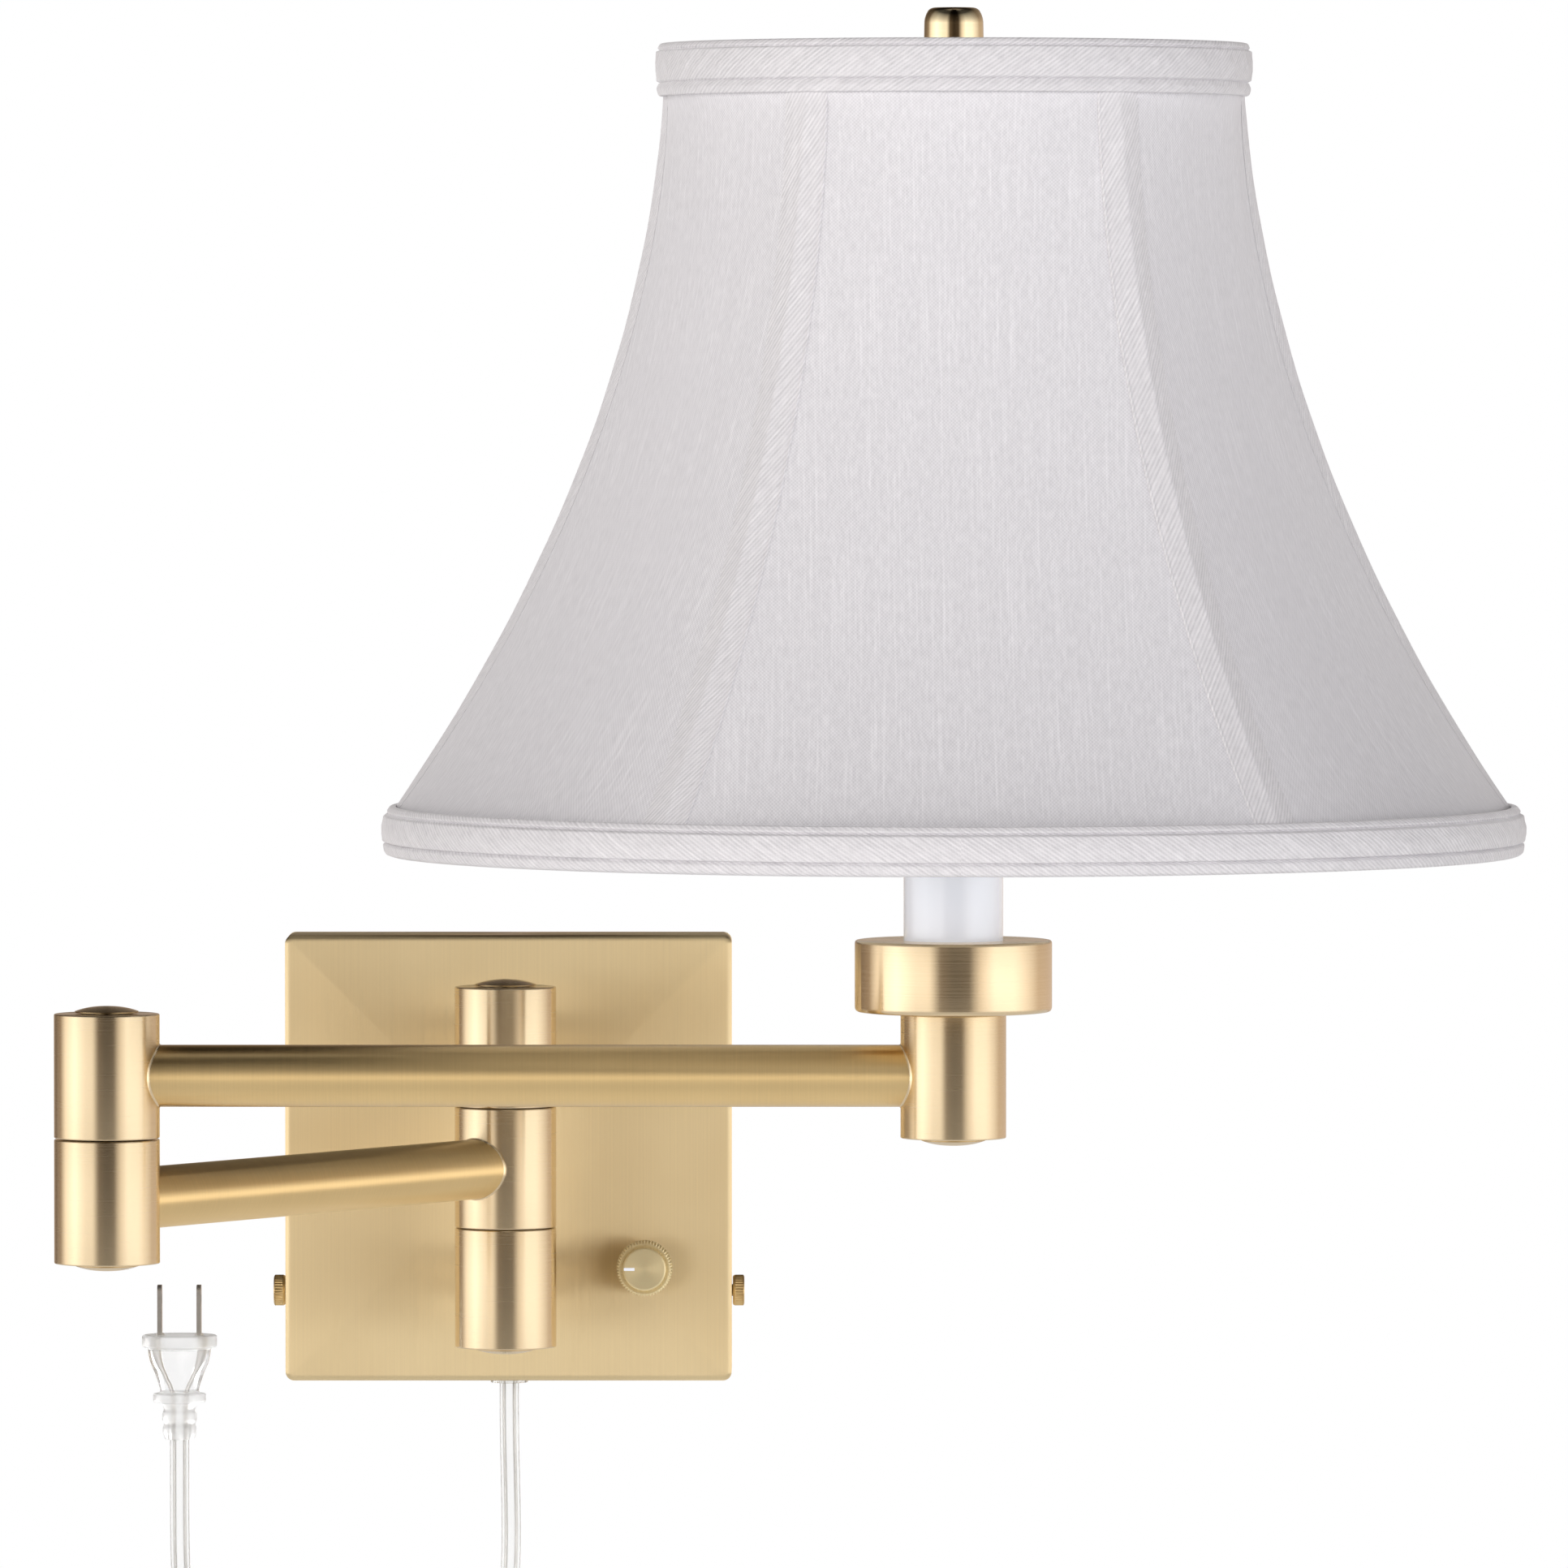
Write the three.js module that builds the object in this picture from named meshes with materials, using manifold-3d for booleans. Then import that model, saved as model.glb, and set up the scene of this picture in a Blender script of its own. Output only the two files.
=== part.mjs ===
// Plug-in wall sconce with a two-part swing arm and a six-panel bell shade.
//
// Frame: millimetres, +Z up. The wall is the plane Y = 0, the front faces -Y and +X is to the
// right. The origin is the middle of the wall plate's back. Z = 0 is also the lower arm's axis.

import * as THREE from 'three';
import { mergeVertices } from 'three/addons/utils/BufferGeometryUtils.js';
import { ParametricGeometry } from 'three/addons/geometries/ParametricGeometry.js';
import Module from 'manifold-3d';

const wasm = await Module();
wasm.setup();

// ---- Driving dimensions ----

const inch = 25.4;
const gap = 0.3; // clearance between two pieces that touch
const roundSteps = 24; // sides of a turned piece

// Wall plate, its bracket and what it holds
const plateSide = 144;
const plateDepth = 25;
const plateEdge = 1.8;
const plateCorner = 2.8;
const plateWall = 1.5;
const bracketThickness = 1.6;
const bracketHalfWidth = 69.4;
const standoffDiameter = 16;
const standoffFlange = 22;
const studDiameter = 9.6;
const thumbscrewHeight = -43.5;
const thumbscrewForward = 12.5;
const thumbscrewDiameter = 3.9;
const knobSide = 44;
const knobHeight = -35;

// Arms: equal barrels, stacked and threaded on a pivot tube at each swivel
const columnForward = 67;
const barrelRadius = 16.2;
const barrelHeight = 1.5 * inch;
const barrelPitch = 38.5;
const barrelChamfer = 0.7;
const barrelBore = 6.7;
const swivelBore = 8.7;
const pivotRadius = 0.25 * inch;
const pivotHole = 4.5;
const capRadius = 9.8;
const capRise = 2.2;
const armRadius = 0.375 * inch;
const armWall = 1.5;
const lowerArmLength = 8 * inch;
const upperArmLength = 259.5;
const lowerArmSwing = THREE.MathUtils.degToRad(35.74); // from straight out, towards -X

// Socket, harp and bulb, as heights above Z = 0 on the socket's axis
const nippleRadius = 4.85;
const nippleBore = 5.2;
const cupRadius = 30.25;
const cupBottom = 58.2;
const cupTop = 80.2;
const sleeveRadius = 15.25;
const sleeveTop = 115;
const saddleBottom = sleeveTop + gap;
const saddleThickness = 1.6;
const socketBottom = saddleBottom + saddleThickness + gap;
const socketTop = 172;
const socketRadius = 16.5;
const bulbBottom = 134.6;
const bulbNeck = 160;
const harpTop = 340;
const harpWire = 1.6;

// Shade: a bell on two round rings and six ribs, at angles from the front towards +X
const ribAngles = [-31, 33.5, 91, 150, 210, 269].map(THREE.MathUtils.degToRad);
const shadeTop = 354.5;
const shadeBottom = 106.5;
const topTrimHeight = 15.9;
const bellTop = shadeTop - topTrimHeight;
const bellBottom = 118;
const bellTopRadius = 88;
const bellSlope = 0.069;
const bellCurve = 0.00141;
const panelFlatness = 0.05;
const coverThickness = 1;
const tapeWidth = 15;
const tapeThickness = 0.6;
const ringWire = 1.3;
const ribWire = 1;
const frameInset = 3.5; // from the bell to the middle of a rib

// Cord: flat and clear, hanging from the plate, coiled and tied, with its plug standing beside
const cordWidth = 6.2;
const cordThickness = 3.2;
const coilCentre = new THREE.Vector3(-53, -8, -187);
const coilInner = 27.4;
const coilOuter = 40.6;
const coilHalfDepth = 6.6;
const plugAt = new THREE.Vector3(-106.7, -13, -58);
const leadRoute = [
  [0, -12.5, -73.6], [0, -12.5, -82], [0.1, -12.4, -92], [0.3, -12.1, -102],
  [0.5, -11.8, -112], [0.6, -11.5, -122], [0.4, -11.3, -132], [-0.2, -11.2, -142],
  [-1.3, -11.2, -151], [-3.1, -11.2, -160], [-5.6, -11.2, -170], [-8.7, -11.2, -180],
];
const tailRoute = [
  [-97.2, -5, -180], [-100.4, -5.6, -170], [-103, -6.8, -160], [-105, -8.3, -150],
  [-106.2, -10, -140], [-106.6, -11.4, -130], [-106.7, -12.4, -120], [-106.7, -12.9, -110],
  [-106.7, -13, -101], [-106.7, -13, -92.4],
];

// ---- Shape helpers ----

// Sum of signed tetrahedra: positive when the faces point out.
function signedVolume(geometry) {
  const corners = [0, 1, 2].map(() => new THREE.Vector3());
  const { position } = geometry.attributes;
  const { index } = geometry;
  let volume = 0;
  for (let i = 0; i < index.count; i += 3) {
    corners.forEach((corner, k) => corner.fromBufferAttribute(position, index.getX(i + k)));
    volume += corners[0].dot(corners[1].cross(corners[2])) / 6;
  }
  return volume;
}

// One closed surface: shared vertices, no collapsed triangles, faces pointing out.
function closed(geometry) {
  const bare = geometry.clone();
  bare.deleteAttribute('normal');
  bare.deleteAttribute('uv');
  const merged = mergeVertices(bare, 1e-4);
  const old = merged.index.array;
  const kept = [];
  for (let i = 0; i < old.length; i += 3) {
    const [a, b, c] = [old[i], old[i + 1], old[i + 2]];
    if (a !== b && b !== c && c !== a) kept.push(a, b, c);
  }
  merged.setIndex(kept);
  if (signedVolume(merged) < 0) merged.setIndex(kept.reverse());
  return merged;
}

function toSolid(geometry) {
  const { attributes, index } = closed(geometry);
  return new wasm.Manifold(new wasm.Mesh({
    numProp: 3,
    vertProperties: Float32Array.from(attributes.position.array),
    triVerts: Uint32Array.from(index.array),
  }));
}

function fromSolid(solid) {
  const mesh = solid.getMesh();
  const geometry = new THREE.BufferGeometry();
  geometry.setAttribute('position', new THREE.BufferAttribute(mesh.vertProperties, 3));
  geometry.setIndex(new THREE.BufferAttribute(mesh.triVerts, 1));
  return geometry;
}

const cut = (geometry, ...tools) => fromSolid(
  tools.reduce((solid, tool) => solid.subtract(toSolid(tool)), toSolid(geometry)),
);
const join = (...geometries) => fromSolid(
  geometries.map(toSolid).reduce((solid, next) => solid.add(next)),
);

// Turned piece: an outline of [radius, height] points spun about Z.
function spin(outline, steps = roundSteps) {
  const points = outline.map(([radius, height]) => new THREE.Vector2(radius, height));
  return closed(new THREE.LatheGeometry(points, steps).rotateX(Math.PI / 2));
}

const rod = (radius, low, high, steps = roundSteps) => spin(
  [[0, low], [radius, low], [radius, high], [0, high]], steps,
);

const sleeve = (inner, outer, low, high, steps = roundSteps) => spin(
  [[inner, low], [outer, low], [outer, high], [inner, high], [inner, low]], steps,
);

// Box from its lowest to its highest corner.
function block(low, high) {
  const size = high.map((value, k) => value - low[k]);
  const middle = high.map((value, k) => (value + low[k]) / 2);
  return new THREE.BoxGeometry(...size).translate(...middle);
}

// Flat piece: a shape in X and Z, as thick as depth towards the front from the plane Y = back.
function plate(shape, depth, back, bevel = 0) {
  const options = {
    depth: depth - 2 * bevel,
    bevelEnabled: bevel > 0,
    bevelThickness: bevel,
    bevelSize: bevel,
    bevelOffset: -bevel,
    bevelSegments: 2,
    curveSegments: 6,
  };
  const geometry = new THREE.ExtrudeGeometry(shape, options).translate(0, 0, bevel);
  return closed(geometry.rotateX(Math.PI / 2).translate(0, back, 0));
}

// Wire, tube or cord: an oval section carried along a curve.
function sweep(curve, width, thickness, steps, sides = 8) {
  const corners = Array.from({ length: sides }, (unused, k) => {
    const turn = (2 * Math.PI * (k + 0.5)) / sides;
    return new THREE.Vector2((width / 2) * Math.cos(turn), (thickness / 2) * Math.sin(turn));
  });
  const section = new THREE.Shape(corners);
  return closed(new THREE.ExtrudeGeometry(section, { steps, extrudePath: curve }));
}

const routeCurve = (points) => new THREE.CatmullRomCurve3(
  points.map((point) => new THREE.Vector3(...point)),
);

// Turned piece laid along Y, with its outline's heights measured towards the front.
const towardsFront = (geometry) => geometry.rotateX(Math.PI / 2);

// Turned piece laid along X, with its outline's heights measured towards +X.
const alongX = (geometry) => geometry.rotateY(Math.PI / 2);

// ---- Finishes ----

const finishes = {
  satinBrass: { color: 0xb89766, roughness: 0.35, metalness: 1 },
  polishedBrass: { color: 0xc9a66b, roughness: 0.12, metalness: 1 },
  zincSteel: { color: 0x9a9c9e, roughness: 0.45, metalness: 1 },
  whitePlastic: { color: 0xf0f1f4, roughness: 0.15, metalness: 0 },
  blackPlastic: { color: 0x1d1d1f, roughness: 0.5, metalness: 0 },
  clearPlastic: { color: 0xd9dcdd, roughness: 0.12, metalness: 0 },
  nylon: { color: 0xe4e0d2, roughness: 0.5, metalness: 0 },
  linen: { color: 0xe3e0e2, roughness: 0.85, metalness: 0 },
  trimLinen: { color: 0xd6d2d6, roughness: 0.85, metalness: 0 },
  bulbGlass: { color: 0xf7f6f2, roughness: 0.2, metalness: 0 },
};

function piece(name, finish, geometry, parent, at = [0, 0, 0]) {
  const mesh = new THREE.Mesh(geometry, new THREE.MeshStandardMaterial(finishes[finish]));
  mesh.name = name;
  mesh.position.set(...at);
  parent.add(mesh);
  return mesh;
}

// ---- Swivel pieces shared by the column, the elbow and the socket end ----

const halfBarrel = barrelHeight / 2;
const barrelClearance = barrelRadius + gap;

function barrel(bore) {
  const c = barrelChamfer;
  return spin([
    [bore, -halfBarrel], [barrelRadius - c, -halfBarrel], [barrelRadius, c - halfBarrel],
    [barrelRadius, halfBarrel - c], [barrelRadius - c, halfBarrel], [bore, halfBarrel],
    [bore, -halfBarrel],
  ]);
}

// Low dome with a stem: its underside rests just above a barrel's end at height 0.
function domeCap(stemRadius, stemLength) {
  return spin([
    [0, -stemLength], [stemRadius, -stemLength], [stemRadius, gap], [capRadius, gap],
    [capRadius, gap + 0.7], [capRadius * 0.7, capRise * 0.9], [0, capRise + 0.15],
  ], 16);
}

const flipped = (geometry) => geometry.rotateX(Math.PI);

// Nylon sleeve in a turning barrel, around the pivot tube.
const bushing = () => sleeve(
  pivotRadius + gap, swivelBore - gap, 0.4 - halfBarrel, halfBarrel - 0.4, 16,
);

// Arm tube along +X between two barrels, with saddle-cut ends.
function armTube(length) {
  const blank = alongX(sleeve(armRadius - armWall, armRadius, 0, length, 20));
  const hub = rod(barrelClearance, -armRadius - 5, armRadius + 5);
  return cut(blank, hub, hub.clone().translate(length, 0, 0));
}

// ---- Wall plate ----

function squareShape(side, corner) {
  const half = side / 2;
  const shape = new THREE.Shape();
  shape.moveTo(half - corner, -half);
  shape.absarc(half - corner, corner - half, corner, -Math.PI / 2, 0, false);
  shape.absarc(half - corner, half - corner, corner, 0, Math.PI / 2, false);
  shape.absarc(corner - half, half - corner, corner, Math.PI / 2, Math.PI, false);
  shape.absarc(corner - half, corner - half, corner, Math.PI, Math.PI * 1.5, false);
  return shape;
}

// Square pan, open at the back, drilled for the studs, the dimmer, the cord and the screws.
function backplateCover() {
  const behind = 6;
  const outer = plate(squareShape(plateSide, plateCorner), plateDepth + behind, behind, plateEdge);
  const inner = plateSide / 2 - plateWall;
  const hollow = block([-inner, plateWall - plateDepth, -inner], [inner, behind + 5, inner]);
  const rear = block([-plateSide, 0, -plateSide], [plateSide, behind + 5, plateSide]);
  const stud = towardsFront(rod(studDiameter / 2 + gap, 0, plateDepth + 5, 16));
  const shaftHole = towardsFront(rod(3.9, 0, plateDepth + 5, 16));
  const cordHole = rod(4.9, -plateSide, 0, 16).translate(0, -12.5, 0);
  const screwHole = alongX(rod(thumbscrewDiameter / 2 + gap, -plateSide, plateSide, 16));
  return cut(
    outer, hollow, rear, cordHole,
    stud.clone().translate(0, 0, barrelPitch),
    stud.clone().translate(0, 0, -barrelPitch),
    shaftHole.translate(knobSide, 0, knobHeight),
    screwHole.translate(0, -thumbscrewForward, thumbscrewHeight),
  );
}

// Flat steel strap with two screw slots, a wire hole and a drilled tab at each side.
function wallBracket() {
  const shape = new THREE.Shape();
  const halfWidth = bracketHalfWidth;
  shape.moveTo(-halfWidth, -54);
  shape.lineTo(halfWidth, -54);
  shape.lineTo(halfWidth, 40);
  shape.lineTo(-halfWidth, 40);
  shape.closePath();
  const strap = plate(shape, bracketThickness, 0);
  const tab = (side) => {
    const inner = side * (halfWidth - bracketThickness);
    const ends = [inner, side * halfWidth].sort((a, b) => a - b);
    return block([ends[0], -21, -52], [ends[1], 0, -35]);
  };
  const slot = (side) => block([side * 39 - 9, -5, -2.6], [side * 39 + 9, 5, 2.6]);
  const wireHole = towardsFront(rod(9, -5, 5, 16)).translate(0, 0, 24);
  const screwHole = alongX(rod(thumbscrewDiameter / 2 + gap, -plateSide, plateSide, 12));
  return cut(
    join(strap, tab(-1), tab(1)), slot(-1), slot(1), wireHole,
    screwHole.translate(0, -thumbscrewForward, thumbscrewHeight),
  );
}

// Post from the plate to the back of a column barrel, with a threaded stud through the plate.
function standoff() {
  const face = plateDepth + gap;
  const post = towardsFront(spin([
    [0, 12], [studDiameter / 2, 12], [studDiameter / 2, face], [standoffFlange / 2, face],
    [standoffFlange / 2, face + 2], [standoffDiameter / 2, face + 3.4],
    [standoffDiameter / 2, columnForward], [0, columnForward],
  ], 18));
  return cut(post, rod(barrelClearance, -20, 20).translate(0, -columnForward, 0));
}

// Hexagon nut on a stud, against the inside of the plate's face.
function studNut() {
  const thickness = 5;
  const hole = studDiameter / 2 + gap;
  const middle = plateDepth - plateWall - gap - thickness / 2;
  const flats = new THREE.CylinderGeometry(8.4, 8.4, thickness, 6);
  return cut(flats, new THREE.CylinderGeometry(hole, hole, 9, 16)).translate(0, -middle, 0);
}

// Screw along +X: knurled head outside the plate's side, shank through the plate and the tab.
function thumbscrew() {
  const teeth = 16;
  const rim = Array.from({ length: teeth * 2 }, (unused, k) => {
    const turn = (Math.PI * k) / teeth;
    const radius = k % 2 ? 4.65 : 5;
    return new THREE.Vector2(radius * Math.cos(turn), radius * Math.sin(turn));
  });
  const head = new THREE.ExtrudeGeometry(new THREE.Shape(rim), { depth: 3.2, bevelEnabled: false });
  const shank = rod(thumbscrewDiameter / 2, -11, 1, 12);
  return alongX(join(head.translate(0, 0, 0.9), shank));
}

// ---- Dimmer ----

function dimmerBody() {
  const inside = plateDepth - plateWall - gap;
  const box = block([-13, -inside, -13], [13, -inside + 14, 13]);
  const neck = towardsFront(rod(3.5, inside - 2, plateDepth + 3.6, 16));
  const shaftWay = towardsFront(rod(2.3, inside - 6, plateDepth + 6, 12));
  return cut(join(box, neck), shaftWay);
}

const dimmerNut = () => towardsFront(sleeve(4.4, 6.4, plateDepth + gap, plateDepth + 2.3, 6));

// Turned knob with a knurled rim, a notch for a pointer and its shaft into the dimmer.
function dimmerKnob() {
  const teeth = 20;
  const back = plateDepth + 4.2;
  const rim = Array.from({ length: teeth * 2 }, (unused, k) => {
    const turn = (Math.PI * k) / teeth;
    const radius = k % 2 ? 8.65 : 9;
    return new THREE.Vector2(radius * Math.cos(turn), radius * Math.sin(turn));
  });
  const skirt = new THREE.ExtrudeGeometry(new THREE.Shape(rim), { depth: 6.2, bevelEnabled: false });
  const crown = spin([[0, 6], [8.4, 6], [8.4, 6.5], [7.2, 8.6], [0, 8.6]], 20);
  const shaft = rod(2, -8, 1, 12);
  const notch = block([-9, -0.45, 8], [-5.4, 0.45, 9]);
  const knob = cut(join(skirt, crown, shaft), notch);
  return towardsFront(knob.translate(0, 0, back));
}

const wireConnector = () => spin([[0, 0], [4.9, 0], [4.9, 5], [2.9, 17], [0, 18]], 12);

// ---- Socket end ----

// Spun drum whose top turns in to hold the sleeve.
const socketCup = () => spin([
  [nippleBore, cupBottom], [cupRadius - 1.7, cupBottom], [cupRadius, cupBottom + 1.7],
  [cupRadius, cupTop - 1.2], [cupRadius - 1.2, cupTop], [sleeveRadius + 0.4, cupTop],
  [sleeveRadius + 0.4, cupTop - 1.5], [cupRadius - 1.6, cupTop - 1.5],
  [cupRadius - 1.6, cupBottom + 1.6], [nippleBore, cupBottom + 1.6], [nippleBore, cupBottom],
], 28);

// Bent strap that carries the harp's feet, drilled for the nipple.
function harpSaddle() {
  const top = saddleBottom + saddleThickness;
  const right = [
    [19, saddleBottom], [21.3, saddleBottom + 2], [21.3, 127.6], [19.7, 127.6],
    [19.7, top + 1.1], [18.3, top],
  ];
  const left = right.map(([x, z]) => [-x, z]).reverse();
  const outline = [...right, ...left].map(([x, z]) => new THREE.Vector2(x, z));
  const strap = plate(new THREE.Shape(outline), 15, 7.5);
  return cut(strap, rod(nippleBore, saddleBottom - 2, top + 2, 16));
}

// Wire loop on two ferrules, with a hub and a threaded stud at its top.
function harp() {
  const rise = [
    [20.5, 142], [23, 151], [36, 172], [51, 203], [56.5, 232], [51, 265], [36.5, 300], [18, 327],
  ];
  const loop = [
    ...rise.map(([x, z]) => [x, 0, z]), [0, 0, harpTop - 2], ...rise.map(([x, z]) => [-x, 0, z]).reverse(),
  ];
  const wire = sweep(routeCurve(loop), 2 * harpWire, 2 * harpWire, 32, 5);
  const ferrule = rod(3.1, 127.9, 144, 8);
  const hub = rod(5, harpTop - 4.4, harpTop + 2.2, 12);
  const stud = rod(3.1, harpTop, harpTop + 17, 10);
  return join(
    wire, ferrule.clone().translate(20.5, 0, 0), ferrule.clone().translate(-20.5, 0, 0), hub, stud,
  );
}

// Socket shell: a cone at the bottom and a cylinder open at the top.
const socketShell = () => spin([
  [nippleBore, socketBottom], [9, socketBottom], [socketRadius, socketBottom + 9.8],
  [socketRadius, socketTop], [socketRadius - 1.6, socketTop],
  [socketRadius - 1.6, socketBottom + 10.4], [8.6, socketBottom + 1.8],
  [nippleBore, socketBottom + 1.8], [nippleBore, socketBottom],
]);

const socketInsert = () => spin([[0, 124], [8, 124], [14.5, 128.7], [14.5, 134], [0, 134]], 24);

const bulbBase = () => spin([
  [0, bulbBottom], [5, bulbBottom], [13.1, bulbBottom + 4], [13.1, bulbNeck - gap],
  [0, bulbNeck - gap],
], 24);

const bulbGlass = () => spin([
  [0, bulbNeck], [13.1, bulbNeck], [13.4, socketTop + 1], [18.5, 184], [26, 199], [29.6, 213], [28.6, 226],
  [22, 238], [12, 243.8], [0, 245],
], 18);

// ---- Shade ----

// Bell: cylinders inside both trims, and between them top radius + slope z + curve z squared.
function bellRadius(height) {
  const drop = bellTop - Math.min(Math.max(height, bellBottom), bellTop);
  return bellTopRadius + bellSlope * drop + bellCurve * drop * drop;
}

// Panels are stretched between the ribs, so they lie flatter than a circle at mid height.
function shadePoint(around, height, offset, target) {
  const sixth = (around % 1) * ribAngles.length;
  const panel = Math.floor(sixth);
  const across = sixth - panel;
  const next = ribAngles[panel + 1] ?? ribAngles[0] + 2 * Math.PI;
  const angle = THREE.MathUtils.lerp(ribAngles[panel], next, across);
  const fall = THREE.MathUtils.clamp((height - bellBottom) / (bellTop - bellBottom), 0, 1);
  const flatness = panelFlatness * 4 * fall * (1 - fall) * (1 - (2 * across - 1) ** 2);
  const radius = bellRadius(height) * (1 - flatness) + offset;
  return target.set(radius * Math.sin(angle), -radius * Math.cos(angle), height);
}

// Closed skin between two offsets from the bell, through the given heights. Its sides are
// facets split along opposite diagonals, so two skins that face each other both rise there.
function bellShell(heights, risingOffset, fallingOffset) {
  const slices = 8 * ribAngles.length;
  const loop = [
    ...heights.map((height) => [height, risingOffset]),
    ...heights.map((height) => [height, fallingOffset]).reverse(),
    [heights[0], risingOffset],
  ];
  const at = (u, v, target) => {
    const [height, offset] = loop[Math.round(v * (loop.length - 1))];
    return shadePoint(u, height, offset, target);
  };
  return closed(new ParametricGeometry(at, slices, loop.length - 1));
}

const evenSteps = (low, high, count) => Array.from(
  { length: count + 1 }, (unused, k) => low + ((high - low) * k) / count,
);

const bellHeights = evenSteps(bellBottom, bellTop, 8);
const shadeCover = () => bellShell(
  [shadeBottom + 1.5, ...bellHeights, shadeTop - 1.5], 0, -coverThickness,
);

// One tape for each rib: a thin skin outside the cover, kept within half a tape's width of it.
function shadeTapes() {
  const heights = [bellBottom + 3.8, ...bellHeights.slice(1, -1), bellTop - 0.6];
  const skin = toSolid(bellShell(heights, gap, gap + tapeThickness));
  return ribAngles.map((angle) => {
    const lane = block([-tapeWidth / 2, -220, 100], [tapeWidth / 2, -40, 360]).rotateZ(angle);
    return fromSolid(skin.intersect(toSolid(lane)));
  });
}

// Welded wire frame: a round ring at each end of the bell and a rib under each tape.
function shadeFrame() {
  const ring = (radius, height) => new THREE.TorusGeometry(radius, ringWire, 4, 48)
    .translate(0, 0, height);
  const topRing = shadeTop - 3;
  const bottomRing = shadeBottom + 3.5;
  const stops = [bottomRing + 0.5, ...bellHeights, topRing - 0.5];
  const ribs = ribAngles.map((unused, k) => {
    const around = k / ribAngles.length;
    const route = stops.map((height) => shadePoint(around, height, -frameInset, new THREE.Vector3()));
    return sweep(new THREE.CatmullRomCurve3(route), 2 * ribWire, 2 * ribWire, 9, 5);
  });
  return join(ring(84.7, topRing), ring(168.3, bottomRing), ...ribs);
}

// Hub disc under the finial with three wires up to the top ring.
function shadeSpider() {
  const hub = sleeve(3.6, 11, harpTop + 2.6, harpTop + 4.2, 18);
  const wire = sweep(routeCurve([
    [0, 9, 343.4], [0, 30, 343.4], [0, 60, 344], [0, 76, 346.6], [0, 82.3, 350.4],
  ]), 2.4, 2.4, 6, 5);
  const arms = [0, 1, 2].map((k) => wire.clone().rotateZ((2 * Math.PI * k) / 3));
  return cut(join(hub, ...arms), rod(3.6, harpTop, harpTop + 8, 18));
}

// Bound edges: rolled bands just outside the cover's top and bottom.
const topTrim = () => spin([
  [88.5, bellTop - 0.2], [89.6, bellTop - 0.2], [91.1, bellTop + 4], [91.1, bellTop + 11],
  [89.6, shadeTop], [88.5, shadeTop], [88.5, bellTop - 0.2],
], 48);

const bottomTrim = () => spin([
  [170.9, 121.4], [171.9, 121.3], [175.2, 116.6], [175.2, 109.4], [173.5, shadeBottom],
  [172.8, shadeBottom], [172.8, 117.7], [170.9, 121.4],
], 48);

const finial = () => spin([
  [0, 358.4], [3.5, 358.4], [3.5, 344.6], [8.9, 344.6], [9.3, 345.4], [9, 362.6],
  [8.3, 364.6], [7, 365.4], [0, 365.5],
], 20);

// ---- Cord ----

const coilSolid = () => towardsFront(spin([
  [coilInner, -4.6], [coilInner + 2, -coilHalfDepth], [coilOuter - 2, -coilHalfDepth],
  [coilOuter, -4.6], [coilOuter, 4.6], [coilOuter - 2, coilHalfDepth],
  [coilInner + 2, coilHalfDepth], [coilInner, 4.6], [coilInner, -4.6],
], 28));

// Flat band round the coil at its top.
function coilTie() {
  const outer = block([-4, -7.9, coilInner - 1.7], [4, 7.9, coilOuter + 1.3]);
  const inner = block([-6, -6.9, coilInner - 0.7], [6, 6.9, coilOuter + 0.3]);
  return cut(outer, inner);
}

const cordGrommet = () => spin([
  [3.4, 0], [4.6, 0], [4.6, -5.6], [6, -5.6], [6, -6.6], [3.4, -6.6], [3.4, 0],
], 16);

// Plug with its flange up, narrowing to a ribbed neck below, and a little flat in depth.
const plugBody = () => spin([
  [0, 0], [12.25, 0], [12.25, -3.6], [10, -4.2], [8.6, -20.4], [8.6, -22], [5.6, -23],
  [5, -34], [0, -34],
], 18).scale(1, 0.86, 1);

// Flat blade seen edge on from the front, with a round hole near its tip.
function plugBlade() {
  const outline = new THREE.Shape();
  outline.moveTo(-3.1, 0.3);
  outline.lineTo(3.1, 0.3);
  outline.lineTo(3.1, 13.6);
  outline.lineTo(1.7, 16.2);
  outline.lineTo(-1.7, 16.2);
  outline.lineTo(-3.1, 13.6);
  outline.closePath();
  const hole = new THREE.Path();
  hole.absarc(0, 11.6, 1.6, 0, 2 * Math.PI, true);
  outline.holes.push(hole);
  return plate(outline, 1.5, 0.75).rotateZ(Math.PI / 2);
}

// ---- Assembly ----

const sconce = new THREE.Group();
const column = [0, -columnForward, 0];

piece('wall_bracket', 'zincSteel', wallBracket(), sconce);
piece('backplate_cover', 'satinBrass', backplateCover(), sconce);
piece('standoff_upper', 'satinBrass', standoff(), sconce, [0, 0, barrelPitch]);
piece('standoff_lower', 'satinBrass', standoff(), sconce, [0, 0, -barrelPitch]);
piece('standoff_nut_upper', 'zincSteel', studNut(), sconce, [0, 0, barrelPitch]);
piece('standoff_nut_lower', 'zincSteel', studNut(), sconce, [0, 0, -barrelPitch]);
piece('column_top_barrel', 'satinBrass', barrel(barrelBore), sconce, [0, -columnForward, barrelPitch]);
piece('column_bottom_barrel', 'satinBrass', barrel(barrelBore), sconce, [0, -columnForward, -barrelPitch]);
const columnHalf = barrelPitch + halfBarrel;
const columnTube = sleeve(pivotHole, pivotRadius, 0.4 - columnHalf, columnHalf - 0.4, 16);
piece('column_pivot_tube', 'zincSteel', columnTube, sconce, column);
const stem = pivotHole - gap;
piece('column_cap_top', 'satinBrass', domeCap(stem, 8), sconce, [0, -columnForward, columnHalf]);
piece('column_cap_bottom', 'satinBrass', flipped(domeCap(stem, 8)), sconce, [0, -columnForward, -columnHalf]);

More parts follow.
